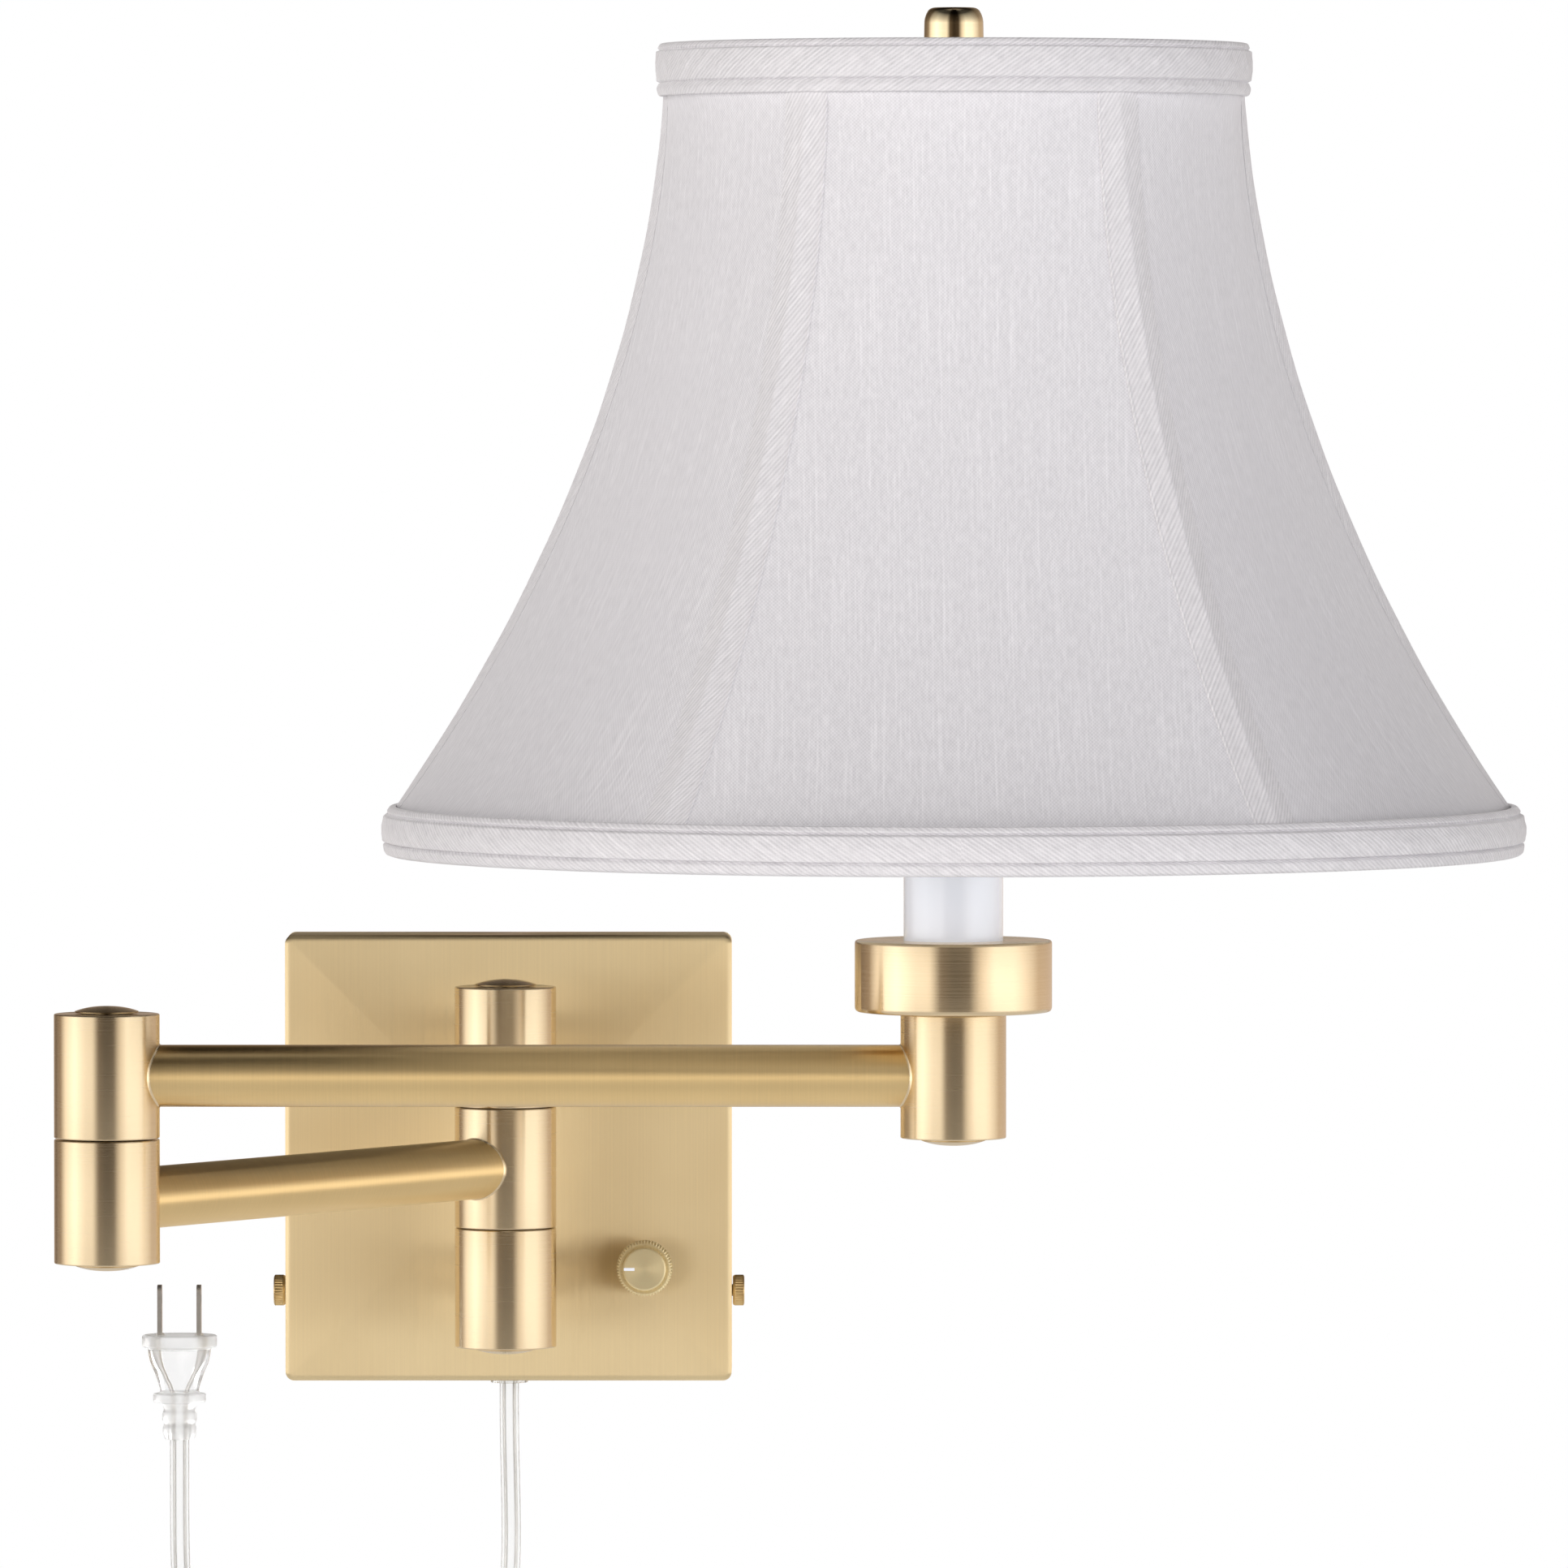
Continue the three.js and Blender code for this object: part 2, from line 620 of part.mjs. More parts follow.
piece('dimmer_body', 'blackPlastic', dimmerBody(), sconce, [knobSide, 0, knobHeight]);
piece('dimmer_nut', 'zincSteel', dimmerNut(), sconce, [knobSide, 0, knobHeight]);
piece('dimmer_knob', 'satinBrass', dimmerKnob(), sconce, [knobSide, 0, knobHeight]);
piece('wire_connector_left', 'clearPlastic', wireConnector(), sconce, [knobSide - 7, -7.2, 0]);
piece('wire_connector_right', 'clearPlastic', wireConnector(), sconce, [knobSide + 7, -7.2, 0]);

const screwAt = [plateSide / 2, -thumbscrewForward, thumbscrewHeight];
piece('thumbscrew_right', 'satinBrass', thumbscrew(), sconce, screwAt);
const leftScrew = thumbscrew().rotateZ(Math.PI);
piece('thumbscrew_left', 'satinBrass', leftScrew, sconce, [-screwAt[0], screwAt[1], screwAt[2]]);

piece('cord_grommet', 'clearPlastic', cordGrommet(), sconce, [0, -12.5, 5.3 - plateSide / 2]);
const lead = sweep(routeCurve(leadRoute), cordWidth, cordThickness, 12);
piece('cord_lead', 'clearPlastic', lead, sconce);
piece('cord_coil', 'clearPlastic', coilSolid(), sconce, coilCentre.toArray());
piece('cord_tie', 'whitePlastic', coilTie(), sconce, coilCentre.toArray());
const tail = sweep(routeCurve(tailRoute), cordWidth, cordThickness, 10);
piece('cord_tail', 'clearPlastic', tail, sconce);
piece('plug_body', 'clearPlastic', plugBody(), sconce, plugAt.toArray());
const halfSpacing = inch / 4;
piece('plug_blade_left', 'zincSteel', plugBlade().translate(-halfSpacing, 0, 0), sconce, plugAt.toArray());
piece('plug_blade_right', 'zincSteel', plugBlade().translate(halfSpacing, 0, 0), sconce, plugAt.toArray());

// Lower arm: its own +X runs from the column to the elbow.
const lowerArm = new THREE.Group();
lowerArm.position.set(...column);
lowerArm.rotation.z = -(Math.PI / 2 + lowerArmSwing);
sconce.add(lowerArm);
piece('lower_arm_hub', 'satinBrass', barrel(swivelBore), lowerArm);
piece('hub_bushing', 'nylon', bushing(), lowerArm);
piece('lower_arm_tube', 'satinBrass', armTube(lowerArmLength), lowerArm);
const elbow = [lowerArmLength, 0, 0];
piece('elbow_lower_barrel', 'satinBrass', barrel(barrelBore), lowerArm, elbow);
const elbowTop = barrelPitch + halfBarrel;
const elbowTube = sleeve(pivotHole, pivotRadius, 0.4 - halfBarrel, elbowTop - 0.4, 16);
piece('elbow_pivot_tube', 'zincSteel', elbowTube, lowerArm, elbow);
piece('elbow_cap_bottom', 'satinBrass', flipped(domeCap(stem, 8)), lowerArm, [lowerArmLength, 0, -halfBarrel]);
piece('elbow_cap_top', 'satinBrass', domeCap(stem, 8), lowerArm, [lowerArmLength, 0, elbowTop]);

// Upper arm: one barrel pitch higher, its own +X runs from the elbow to the socket.
const upperArm = new THREE.Group();
upperArm.position.set(lowerArmLength, 0, barrelPitch);
upperArm.rotation.z = -lowerArm.rotation.z;
lowerArm.add(upperArm);
piece('elbow_upper_barrel', 'satinBrass', barrel(swivelBore), upperArm);
piece('elbow_bushing', 'nylon', bushing(), upperArm);
piece('upper_arm_tube', 'satinBrass', armTube(upperArmLength), upperArm);
piece('socket_barrel', 'satinBrass', barrel(nippleBore), upperArm, [upperArmLength, 0, 0]);
const socketCap = flipped(domeCap(nippleBore - gap, 8));
piece('socket_barrel_cap', 'satinBrass', socketCap, upperArm, [upperArmLength, 0, -halfBarrel]);

// Socket stack: heights from Z = 0 of the whole lamp.
const socketStack = new THREE.Group();
socketStack.position.set(upperArmLength, 0, -barrelPitch);
upperArm.add(socketStack);
piece('socket_nipple', 'zincSteel', sleeve(3.2, nippleRadius, 29, 122, 16), socketStack);
piece('socket_cup', 'satinBrass', socketCup(), socketStack);
const candle = sleeve(sleeveRadius - 1.5, sleeveRadius, cupBottom + 1.9, sleeveTop, 28);
piece('candle_sleeve', 'whitePlastic', candle, socketStack);
piece('harp_saddle', 'satinBrass', harpSaddle(), socketStack);
piece('harp', 'satinBrass', harp(), socketStack);
piece('socket_shell', 'polishedBrass', socketShell(), socketStack);
piece('socket_insert', 'blackPlastic', socketInsert(), socketStack);
piece('bulb_base', 'zincSteel', bulbBase(), socketStack);
piece('bulb_glass', 'bulbGlass', bulbGlass(), socketStack);

// Shade and finial, on the harp.
piece('shade_cover', 'linen', shadeCover(), socketStack);
const tapeNames = ['front_left', 'front_right', 'right', 'back_right', 'back_left', 'left'];
shadeTapes().forEach((tape, k) => piece(`shade_tape_${tapeNames[k]}`, 'trimLinen', tape, socketStack));
piece('shade_top_trim', 'trimLinen', topTrim(), socketStack);
piece('shade_bottom_trim', 'trimLinen', bottomTrim(), socketStack);
piece('shade_frame', 'zincSteel', shadeFrame(), socketStack);
piece('shade_spider', 'satinBrass', shadeSpider(), socketStack);
piece('finial', 'polishedBrass', finial(), socketStack);

export default sconce;
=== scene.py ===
import math

import bmesh
import bpy
import numpy as np
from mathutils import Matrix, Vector


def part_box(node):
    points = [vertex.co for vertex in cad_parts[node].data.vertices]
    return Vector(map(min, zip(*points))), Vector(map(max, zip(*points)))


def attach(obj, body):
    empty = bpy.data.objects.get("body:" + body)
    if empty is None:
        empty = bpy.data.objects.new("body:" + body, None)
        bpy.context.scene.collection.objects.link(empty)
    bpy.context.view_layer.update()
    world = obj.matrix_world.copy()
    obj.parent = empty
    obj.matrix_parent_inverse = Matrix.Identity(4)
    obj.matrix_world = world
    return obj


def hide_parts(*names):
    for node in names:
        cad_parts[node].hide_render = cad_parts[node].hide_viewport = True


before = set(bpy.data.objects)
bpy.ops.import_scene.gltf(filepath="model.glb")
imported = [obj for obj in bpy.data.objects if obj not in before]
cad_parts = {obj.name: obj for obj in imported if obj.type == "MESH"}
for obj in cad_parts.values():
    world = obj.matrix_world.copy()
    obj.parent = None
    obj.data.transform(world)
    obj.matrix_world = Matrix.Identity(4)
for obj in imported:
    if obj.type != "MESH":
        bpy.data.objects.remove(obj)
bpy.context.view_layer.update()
print("frame loaded:", len(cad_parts), "nodes")

mm = 0.001
scene = bpy.context.scene


def middle(node):
    low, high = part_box(node)
    return np.array((low + high) / 2)


columnAt = middle("column_top_barrel") * (1, 1, 0)
elbowAt = middle("elbow_lower_barrel") * (1, 1, 0)
socketAt = middle("socket_barrel") * (1, 1, 0)


# Camera and floor, in metres; the lens and the sensor are in millimetres.
studio = {
    "lens": 300,
    "sensor": 36,
    "farthest": 50,
    "distance": 4.0,
    "aimHeight": 0.128,
    "cameraHeight": 0.268,
    "cameraSide": 0.0889,
    "floorDrop": 4.0,
    "floorReach": 14,
}


def makeCamera():
    data = bpy.data.cameras.new("camera")
    data.lens = studio["lens"]
    data.sensor_width = studio["sensor"]
    data.clip_end = studio["farthest"]
    camera = bpy.data.objects.new("camera", data)
    scene.collection.objects.link(camera)
    plane = socketAt[1]
    eye = Vector((studio["cameraSide"], plane - studio["distance"], studio["cameraHeight"]))
    aim = Vector((studio["cameraSide"], plane, studio["aimHeight"]))
    camera.location = eye
    camera.rotation_euler = (aim - eye).to_track_quat("-Z", "Y").to_euler()
    scene.camera = camera


def areaLight(name, place, aim, size, energy, colour=(1, 1, 1)):
    data = bpy.data.lights.new(name, "AREA")
    data.shape = "RECTANGLE"
    data.size, data.size_y = size
    data.energy = energy
    data.color = colour
    light = bpy.data.objects.new(name, data)
    scene.collection.objects.link(light)
    light.location = place
    light.rotation_euler = (Vector(aim) - Vector(place)).to_track_quat("-Z", "Y").to_euler()
    light.visible_glossy = False


# World: white to the camera and through clear plastic. For light and reflections it is a tent
# of bright walls, with a dark warm strip where the camera stands and a dark strip overhead.
# The first list is brightness by angle round the tent, in degrees to the right of the camera;
# the second is its share by height, from straight down (-1) to straight up (1).
tentWalls = [
    (-180, 0.3), (-145, 0.1), (-118, 0.22), (-100, 0.8), (-72, 1.2), (-45, 0.92), (-29, 0.85),
    (-16, 0.1), (0, 0.035), (18, 0.06), (32, 0.72), (48, 1.1), (75, 0.98), (118, 0.4),
    (180, 0.3),
]
tentHeights = [
    (-1.0, 1.0), (-0.63, 1.35), (-0.32, 1.55), (-0.2, 1.8), (-0.13, 2.15), (-0.03, 2.1),
    (0.05, 1.65), (0.14, 1.25), (0.3, 0.8), (0.55, 0.42), (0.74, 0.06), (0.9, 0.04),
    (0.96, 0.3), (1.0, 0.6),
]


# Adds a shader node to a tree; each input is a value or the socket that feeds it.
def addNode(tree, kind, inputs=(), **values):
    made = tree.nodes.new("ShaderNode" + kind)
    for key, value in values.items():
        setattr(made, key, value)
    for key, value in dict(inputs).items():
        if isinstance(value, bpy.types.NodeSocket):
            tree.links.new(value, made.inputs[key])
        else:
            made.inputs[key].default_value = value
    return made


def mathNode(tree, operation, *terms):
    return addNode(tree, "Math", dict(enumerate(terms)), operation=operation).outputs[0]


def makeWorld():
    world = bpy.data.worlds.new("studio")
    scene.world = world
    world.use_nodes = True
    tree = world.node_tree
    tree.nodes.clear()

    # colour by place between low and high; a warm ramp turns yellower where it is dim
    def ramp(source, low, high, stops, warm):
        spread = addNode(tree, "MapRange", {"Value": source, "From Min": low, "From Max": high})
        made = addNode(tree, "ValToRGB", {0: spread.outputs[0]})
        while len(made.color_ramp.elements) < len(stops):
            made.color_ramp.elements.new(0.5)
        for element, (place, value) in zip(made.color_ramp.elements, stops):
            element.position = (place - low) / (high - low)
            pale = min(value, 1) if warm else 1
            element.color = (value, value * (0.72 + 0.28 * pale), value * (0.5 + 0.5 * pale), 1)
        return made.outputs[0]

    split = addNode(tree, "SeparateXYZ", {0: addNode(tree, "TexCoord").outputs["Generated"]})
    back = mathNode(tree, "MULTIPLY", split.outputs[1], -1)
    turn = mathNode(tree, "ARCTAN2", split.outputs[0], back)
    walls = ramp(mathNode(tree, "DEGREES", turn), -180, 180, tentWalls, True)
    heights = ramp(split.outputs[2], -1, 1, tentHeights, False)
    lighting = addNode(tree, "Background", {"Color": walls, "Strength": heights})
    paper = addNode(tree, "Background", {"Color": (1, 1, 1, 1)})
    rays = addNode(tree, "LightPath").outputs
    either = mathNode(tree, "MAXIMUM", rays["Is Camera Ray"], rays["Is Transmission Ray"])
    choose = addNode(tree, "MixShader", {0: either, 1: lighting.outputs[0], 2: paper.outputs[0]})
    addNode(tree, "OutputWorld", {0: choose.outputs[0]})


makeCamera()
makeWorld()
scene.view_settings.view_transform = "Standard"
areaLight("keyLeft", (-0.4, -3.0, 0.7), (0.1, -0.2, 0.2), (1.0, 1.0), 41, (1, 0.975, 0.97))
areaLight("fillRight", (1.9, -1.4, 0.4), (0.1, -0.2, 0.2), (1.0, 1.0), 3.4, (0.66, 0.77, 1))
areaLight("backLeft", (-1.6, 2.4, 1.2), (0.1, -0.2, 0.1), (1.2, 1.2), 30)
areaLight("backRight", (1.9, 2.2, 0.6), (0.1, -0.2, 0.1), (1.2, 1.2), 22)


# A grid of points (rows, columns, 3) becomes quads; columns close on themselves, rows may.
# Its UV map is in metres: across the columns, then down the rows, unless uvAt says otherwise.
def gridPiece(name, points, material, closeRows=False, smooth=35, uvAt=None):
    rows, columns = points.shape[:2]
    rowCount = rows if closeRows else rows - 1
    i, j = np.meshgrid(np.arange(rowCount), np.arange(columns), indexing="ij")
    nextI, nextJ = (i + 1) % rows, (j + 1) % columns
    faces = np.stack([
        i * columns + j, i * columns + nextJ, nextI * columns + nextJ, nextI * columns + j,
    ], axis=-1).reshape(-1, 4)
    across = np.linalg.norm(np.roll(points, -1, axis=1) - points, axis=2).max(axis=0)
    down = np.linalg.norm(np.roll(points, -1, axis=0) - points, axis=2).max(axis=1)
    u = np.concatenate([[0], np.cumsum(across)])
    v = np.concatenate([[0], np.cumsum(down)])
    corners = [(i, j), (i, j + 1), (i + 1, j + 1), (i + 1, j)]
    if uvAt is None:
        def uvAt(row, column, faceColumn):
            return u[column], v[row]
    uv = np.stack([np.stack(uvAt(a, b, j), axis=-1) for a, b in corners], axis=2)
    return meshPiece(name, points.reshape(-1, 3), faces, uv.reshape(-1, 2), material, smooth)


def meshPiece(name, vertices, faces, uv, material, smooth=35):
    mesh = bpy.data.meshes.new(name)
    mesh.from_pydata(vertices.tolist(), [], [list(map(int, face)) for face in faces])
    if uv is not None:
        layer = mesh.uv_layers.new(name="UVMap")
        layer.data.foreach_set("uv", uv.astype(np.float32).ravel())
    work = bmesh.new()
    work.from_mesh(mesh)
    bmesh.ops.remove_doubles(work, verts=work.verts, dist=1e-7)
    if work.calc_volume(signed=True) < 0:
        bmesh.ops.reverse_faces(work, faces=work.faces)
    work.to_mesh(mesh)
    work.free()
    mesh.shade_smooth()
    mesh.set_sharp_from_angle(angle=math.radians(smooth))
    mesh.materials.append(material)
    piece = bpy.data.objects.new(name, mesh)
    scene.collection.objects.link(piece)
    return piece


def finishPiece(piece, body, slot, *nodes):
    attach(piece, body)
    if nodes:
        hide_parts(*nodes)
    return piece


# Angles evenly round a circle.
def roundAngles(count, start=0):
    return np.arange(count) * 2 * np.pi / count + start


# Outline in millimetres with eased corners: each corner is (radius, height, ease), and an
# eased corner is a quadratic curve that starts and ends that far from it.
def easedOutline(corners, steps=5, loop=False):
    flat = np.array([corner[:2] for corner in corners], float)
    result = []
    for k, (point, corner) in enumerate(zip(flat, corners)):
        ease = corner[2] if len(corner) > 2 else 0
        if not ease or (not loop and k in (0, len(flat) - 1)):
            result.append(point[None])
            continue
        before = flat[k - 1] - point
        after = flat[(k + 1) % len(flat)] - point
        start = point + before / np.linalg.norm(before) * ease
        end = point + after / np.linalg.norm(after) * ease
        t = np.linspace(0, 1, steps)[:, None]
        result.append((1 - t) ** 2 * start + 2 * t * (1 - t) * point + t ** 2 * end)
    return np.concatenate(result) * mm


# Turned piece: an outline carried round the axis from place, which points along axis.
# ripple(angle, height) scales the radius, for knurls.
def turnedPiece(name, outline, place, material, axis=(0, 0, 1), steps=96, loop=False, ripple=None,
                smooth=35):
    angle = roundAngles(steps, np.pi / 2)
    radius = np.repeat(outline[:, :1], steps, axis=1)
    if ripple is not None:
        radius = radius * ripple(angle[None, :], outline[:, 1:2])
    local = np.stack([
        radius * np.cos(angle), radius * np.sin(angle), np.repeat(outline[:, 1:2], steps, axis=1),
    ], axis=-1)
    return gridPiece(name, turnedTo(local, axis) + place, material, closeRows=loop, smooth=smooth)


# Rotation that takes +Z to axis.
def turnedTo(points, axis):
    turn = Vector((0, 0, 1)).rotation_difference(Vector(axis).normalized()).to_matrix()
    return points @ np.array(turn).T


# Section (m, 2) carried along a path (n, 3): its first direction is sideways, square to the
# path and to across, and its second is square to both. twist turns it, in radians.
def sweptPoints(path, section, across=(0, 1, 0), twist=0, scale=1):
    along = np.gradient(path, axis=0)
    along /= np.linalg.norm(along, axis=1, keepdims=True)
    side = np.cross(along, across)
    side /= np.linalg.norm(side, axis=1, keepdims=True)
    up = np.cross(side, along)
    turn = np.broadcast_to(twist, len(path))[:, None]
    first = side * np.cos(turn) + up * np.sin(turn)
    second = up * np.cos(turn) - side * np.sin(turn)
    grow = np.broadcast_to(scale, len(path))[:, None, None]
    x, y = section[:, 0][None, :, None], section[:, 1][None, :, None]
    return path[:, None] + grow * (x * first[:, None] + y * second[:, None])


# Closes a grid's first and last rows to points.
def capped(points):
    ends = points[[0, -1]].mean(axis=1, keepdims=True)
    first, last = np.repeat(ends, points.shape[1], axis=1)
    return np.concatenate([[first], points, [last]])


def sweptPiece(name, path, section, material, across=(0, 1, 0), twist=0, smooth=50):
    points = capped(sweptPoints(path, section, across, twist))
    return gridPiece(name, points, material, smooth=smooth)


def roundSection(radius, sides=16):
    angle = roundAngles(sides)
    return radius * np.stack([np.cos(angle), np.sin(angle)], axis=-1)


# Catmull-Rom curve through the points, with steps points on each span.
def smoothPath(points, steps):
    points = np.array(points, float)
    before, after = 2 * points[:1] - points[1:2], 2 * points[-1:] - points[-2:-1]
    padded = np.concatenate([before, points, after])
    t = np.linspace(0, 1, steps, endpoint=False)[None, :, None]
    a, b, c, d = (padded[k:len(padded) - 3 + k, None] for k in range(4))
    curve = 0.5 * (2 * b + (c - a) * t + (2 * a - 5 * b + 4 * c - d) * t ** 2
                   + (3 * b - a - 3 * c + d) * t ** 3)
    return np.concatenate([curve.reshape(-1, 3), points[-1:]])


def joinPieces(name, pieces):
    bpy.ops.object.select_all(action="DESELECT")
    for piece in pieces:
        piece.select_set(True)
    bpy.context.view_layer.objects.active = pieces[0]
    bpy.ops.object.join()
    pieces[0].name = name
    return pieces[0]


# Node group with its entry and result; each socket is (name, "INPUT" or "OUTPUT", type).
def newGroup(name, sockets):
    group = bpy.data.node_groups.new(name, "ShaderNodeTree")
    for socket, way, kind in sockets:
        group.interface.new_socket(socket, in_out=way, socket_type="NodeSocket" + kind)
    return group, group.nodes.new("NodeGroupInput"), group.nodes.new("NodeGroupOutput")


# Noise stretched along the directions where density is low.
def stretchedNoise(tree, source, density, **inputs):
    stretch = addNode(tree, "VectorMath", {0: source, 1: density}, operation="MULTIPLY")
    noise = addNode(tree, "TexNoise", {"Vector": stretch.outputs[0], "Scale": 1, **inputs})
    return noise.outputs[0]


# Streaks: noise stretched along one direction. Lines is fine, Drift is broad.
def makeStreakGroup():
    group, entry, result = newGroup("streaks", [
        ("Vector", "INPUT", "Vector"), ("Density", "INPUT", "Vector"),
        ("Lines", "OUTPUT", "Float"), ("Drift", "OUTPUT", "Float"),
    ])
    place, density = entry.outputs[0], entry.outputs[1]
    fine = stretchedNoise(group, place, density, Detail=4, Roughness=0.65)
    broad = addNode(group, "TexNoise", {"Vector": place, "Scale": 24, "Detail": 2})
    group.links.new(fine, result.inputs[0])
    group.links.new(broad.outputs[0], result.inputs[1])
    return group


weaveLook = {
    "pitchAcross": 0.00118,
    "pitchDown": 0.00105,
    "grain": (900, 300, 900),
    "slubs": (1100, 24, 1100),
    "slubsFrom": 0.5,
    "slubsTo": 0.78,
}


# Cloth in metres, x across the threads: height = sin(a x) * cos(b y) is a staggered weave of
# small dots, and Lines flattens the cosine so the dots join into cords. Slubs are long thick
# threads from stretched noise, and grain is the unevenness of each thread.
def makeClothGroup():
    look = weaveLook
    group, entry, result = newGroup("slubCloth", [
        ("Vector", "INPUT", "Vector"), ("Lines", "INPUT", "Float"),
        ("Weave", "OUTPUT", "Float"), ("Slub", "OUTPUT", "Float"),
    ])
    place, lines = entry.outputs[0], entry.outputs[1]
    split = addNode(group, "SeparateXYZ", {0: place})

    def threads(wave, source, pitch):
        return mathNode(group, wave, mathNode(group, "MULTIPLY", source, 2 * math.pi / pitch))

    across = threads("SINE", split.outputs[0], look["pitchAcross"])
    along = threads("COSINE", split.outputs[1], look["pitchDown"])
    shape = mathNode(group, "MULTIPLY_ADD", along, mathNode(group, "SUBTRACT", 1, lines), lines)
    dots = mathNode(group, "MULTIPLY", across, shape)
    grain = stretchedNoise(group, place, look["grain"], Detail=3)
    grain = mathNode(group, "MULTIPLY_ADD", grain, 0.9, 0.05)
    weave = mathNode(group, "MULTIPLY_ADD", dots, 0.3, grain)
    slubs = addNode(group, "MapRange", {
        "Value": stretchedNoise(group, place, look["slubs"], Detail=2),
        "From Min": look["slubsFrom"], "From Max": look["slubsTo"],
    })
    group.links.new(weave, result.inputs[0])
    group.links.new(slubs.outputs[0], result.inputs[1])
    return group


streakGroup = makeStreakGroup()
clothGroup = makeClothGroup()


# Material under construction: its node tree and its Principled shader, whose inputs are given
# by name with underscores for spaces.
class Recipe:
    def __init__(self, name, **inputs):
        self.material = bpy.data.materials.new(name)
        self.material.use_nodes = True
        self.tree = self.material.node_tree
        self.shader = self.tree.nodes["Principled BSDF"]
        for key, value in inputs.items():
            self.shader.inputs[key.replace("_", " ")].default_value = value

    def feed(self, source, key):
        self.tree.links.new(source, self.shader.inputs[key])

    def coordinates(self, kind, turn=0):
        source = addNode(self.tree, "TexCoord").outputs[kind]
        if not turn:
            return source
        turned = addNode(self.tree, "Mapping", {"Vector": source, "Rotation": (0, 0, turn)})
        return turned.outputs[0]

    def group(self, group, **inputs):
        return addNode(self.tree, "Group", inputs, node_tree=group).outputs

    def remap(self, source, low, high, fromLow=0.3, fromHigh=0.7):
        return addNode(self.tree, "MapRange", {
            "Value": source, "From Min": fromLow, "From Max": fromHigh, "To Min": low, "To Max": high,
        }).outputs[0]

    def tint(self, source, dark, light):
        made = addNode(self.tree, "Mix", {"Factor": source, "A": (*dark, 1), "B": (*light, 1)},
                       data_type="RGBA")
        self.feed(made.outputs["Result"], "Base Color")

    def bump(self, source, depth, strength=1.0):
        inputs = {"Height": source, "Distance": depth, "Strength": strength}
        self.feed(addNode(self.tree, "Bump", inputs).outputs[0], "Normal")

    def streakSurface(self, lines, rough, depth):
        self.feed(self.remap(lines, *rough), "Roughness")
        self.bump(lines, depth)


# Brushed brass: density is how closely the brush lines lie along the three directions. The
# finish is rougher square to the brush lines; spread is that direction, "round" or "along".
def brushedBrass(name, density, rough=(0.2, 0.3), kind="UV", depth=0.00001, spread="along",
                 stretch=0.95, dark=(0.73, 0.575, 0.36), light=(0.86, 0.70, 0.465)):
    recipe = Recipe(name, Metallic=1.0, Coat_Weight=0.3, Coat_Roughness=0.25, Anisotropic=stretch,
                    Anisotropic_Rotation=0.25 if spread == "along" else 0.0)
    direction = {"direction_type": "RADIAL", "axis": "Z"}
    if kind == "UV":
        direction = {"direction_type": "UV_MAP", "uv_map": "UVMap"}
    recipe.feed(addNode(recipe.tree, "Tangent", **direction).outputs[0], "Tangent")
    streaks = recipe.group(streakGroup, Vector=recipe.coordinates(kind), Density=density)
    lines = recipe.remap(streaks["Lines"], 0, 1)
    drift = recipe.remap(streaks["Drift"], 0, 0.4)
    recipe.tint(mathNode(recipe.tree, "MULTIPLY_ADD", lines, 0.6, drift), dark, light)
    recipe.streakSurface(streaks["Lines"], rough, depth)
    return recipe.material


# Clear plastic, frosted between each pair of levels, in metres of height.
def frostedVinyl(name, levels):
    recipe = Recipe(name, Transmission_Weight=0.9, IOR=1.38)
    split = addNode(recipe.tree, "SeparateXYZ", {0: recipe.coordinates("Object")})
    frosting = 0.0
    for low, high in levels:
        inside = mathNode(recipe.tree, "COMPARE", split.outputs[2], (low + high) / 2, (high - low) / 2)
        frosting = mathNode(recipe.tree, "MAXIMUM", frosting, inside)
    recipe.feed(recipe.remap(frosting, 0.12, 0.45, 0, 1), "Roughness")
    recipe.tint(frosting, (0.97, 0.97, 0.97), (0.93, 0.93, 0.925))
    return recipe.material


# Plain finish with a slow change of colour, and a roughness from the fine streaks.
def plainFinish(name, dark, light, rough, density=(300, 300, 300), depth=0.000004, **inputs):
    recipe = Recipe(name, **inputs)
    streaks = recipe.group(streakGroup, Vector=recipe.coordinates("Object"), Density=density)
    recipe.tint(recipe.remap(streaks["Drift"], 0, 1), dark, light)
    recipe.streakSurface(streaks["Lines"], rough, depth)
    return recipe.material


# Slubbed cloth; turn lays the threads at an angle, as on a bias-cut tape.
def slubbedCloth(name, dark, light, turn=0, depth=0.0001, lines=0.0):
    recipe = Recipe(name, Roughness=0.7, Sheen_Weight=0.3, Sheen_Roughness=0.35)
    cloth = recipe.group(clothGroup, Vector=recipe.coordinates("UV", turn), Lines=lines)
    height = mathNode(recipe.tree, "MULTIPLY_ADD", cloth["Slub"], 0.34, cloth["Weave"])
    recipe.tint(recipe.remap(height, 0, 1, 0.1, 1.1), dark, light)
    recipe.bump(height, depth, 0.8)
    return recipe.material


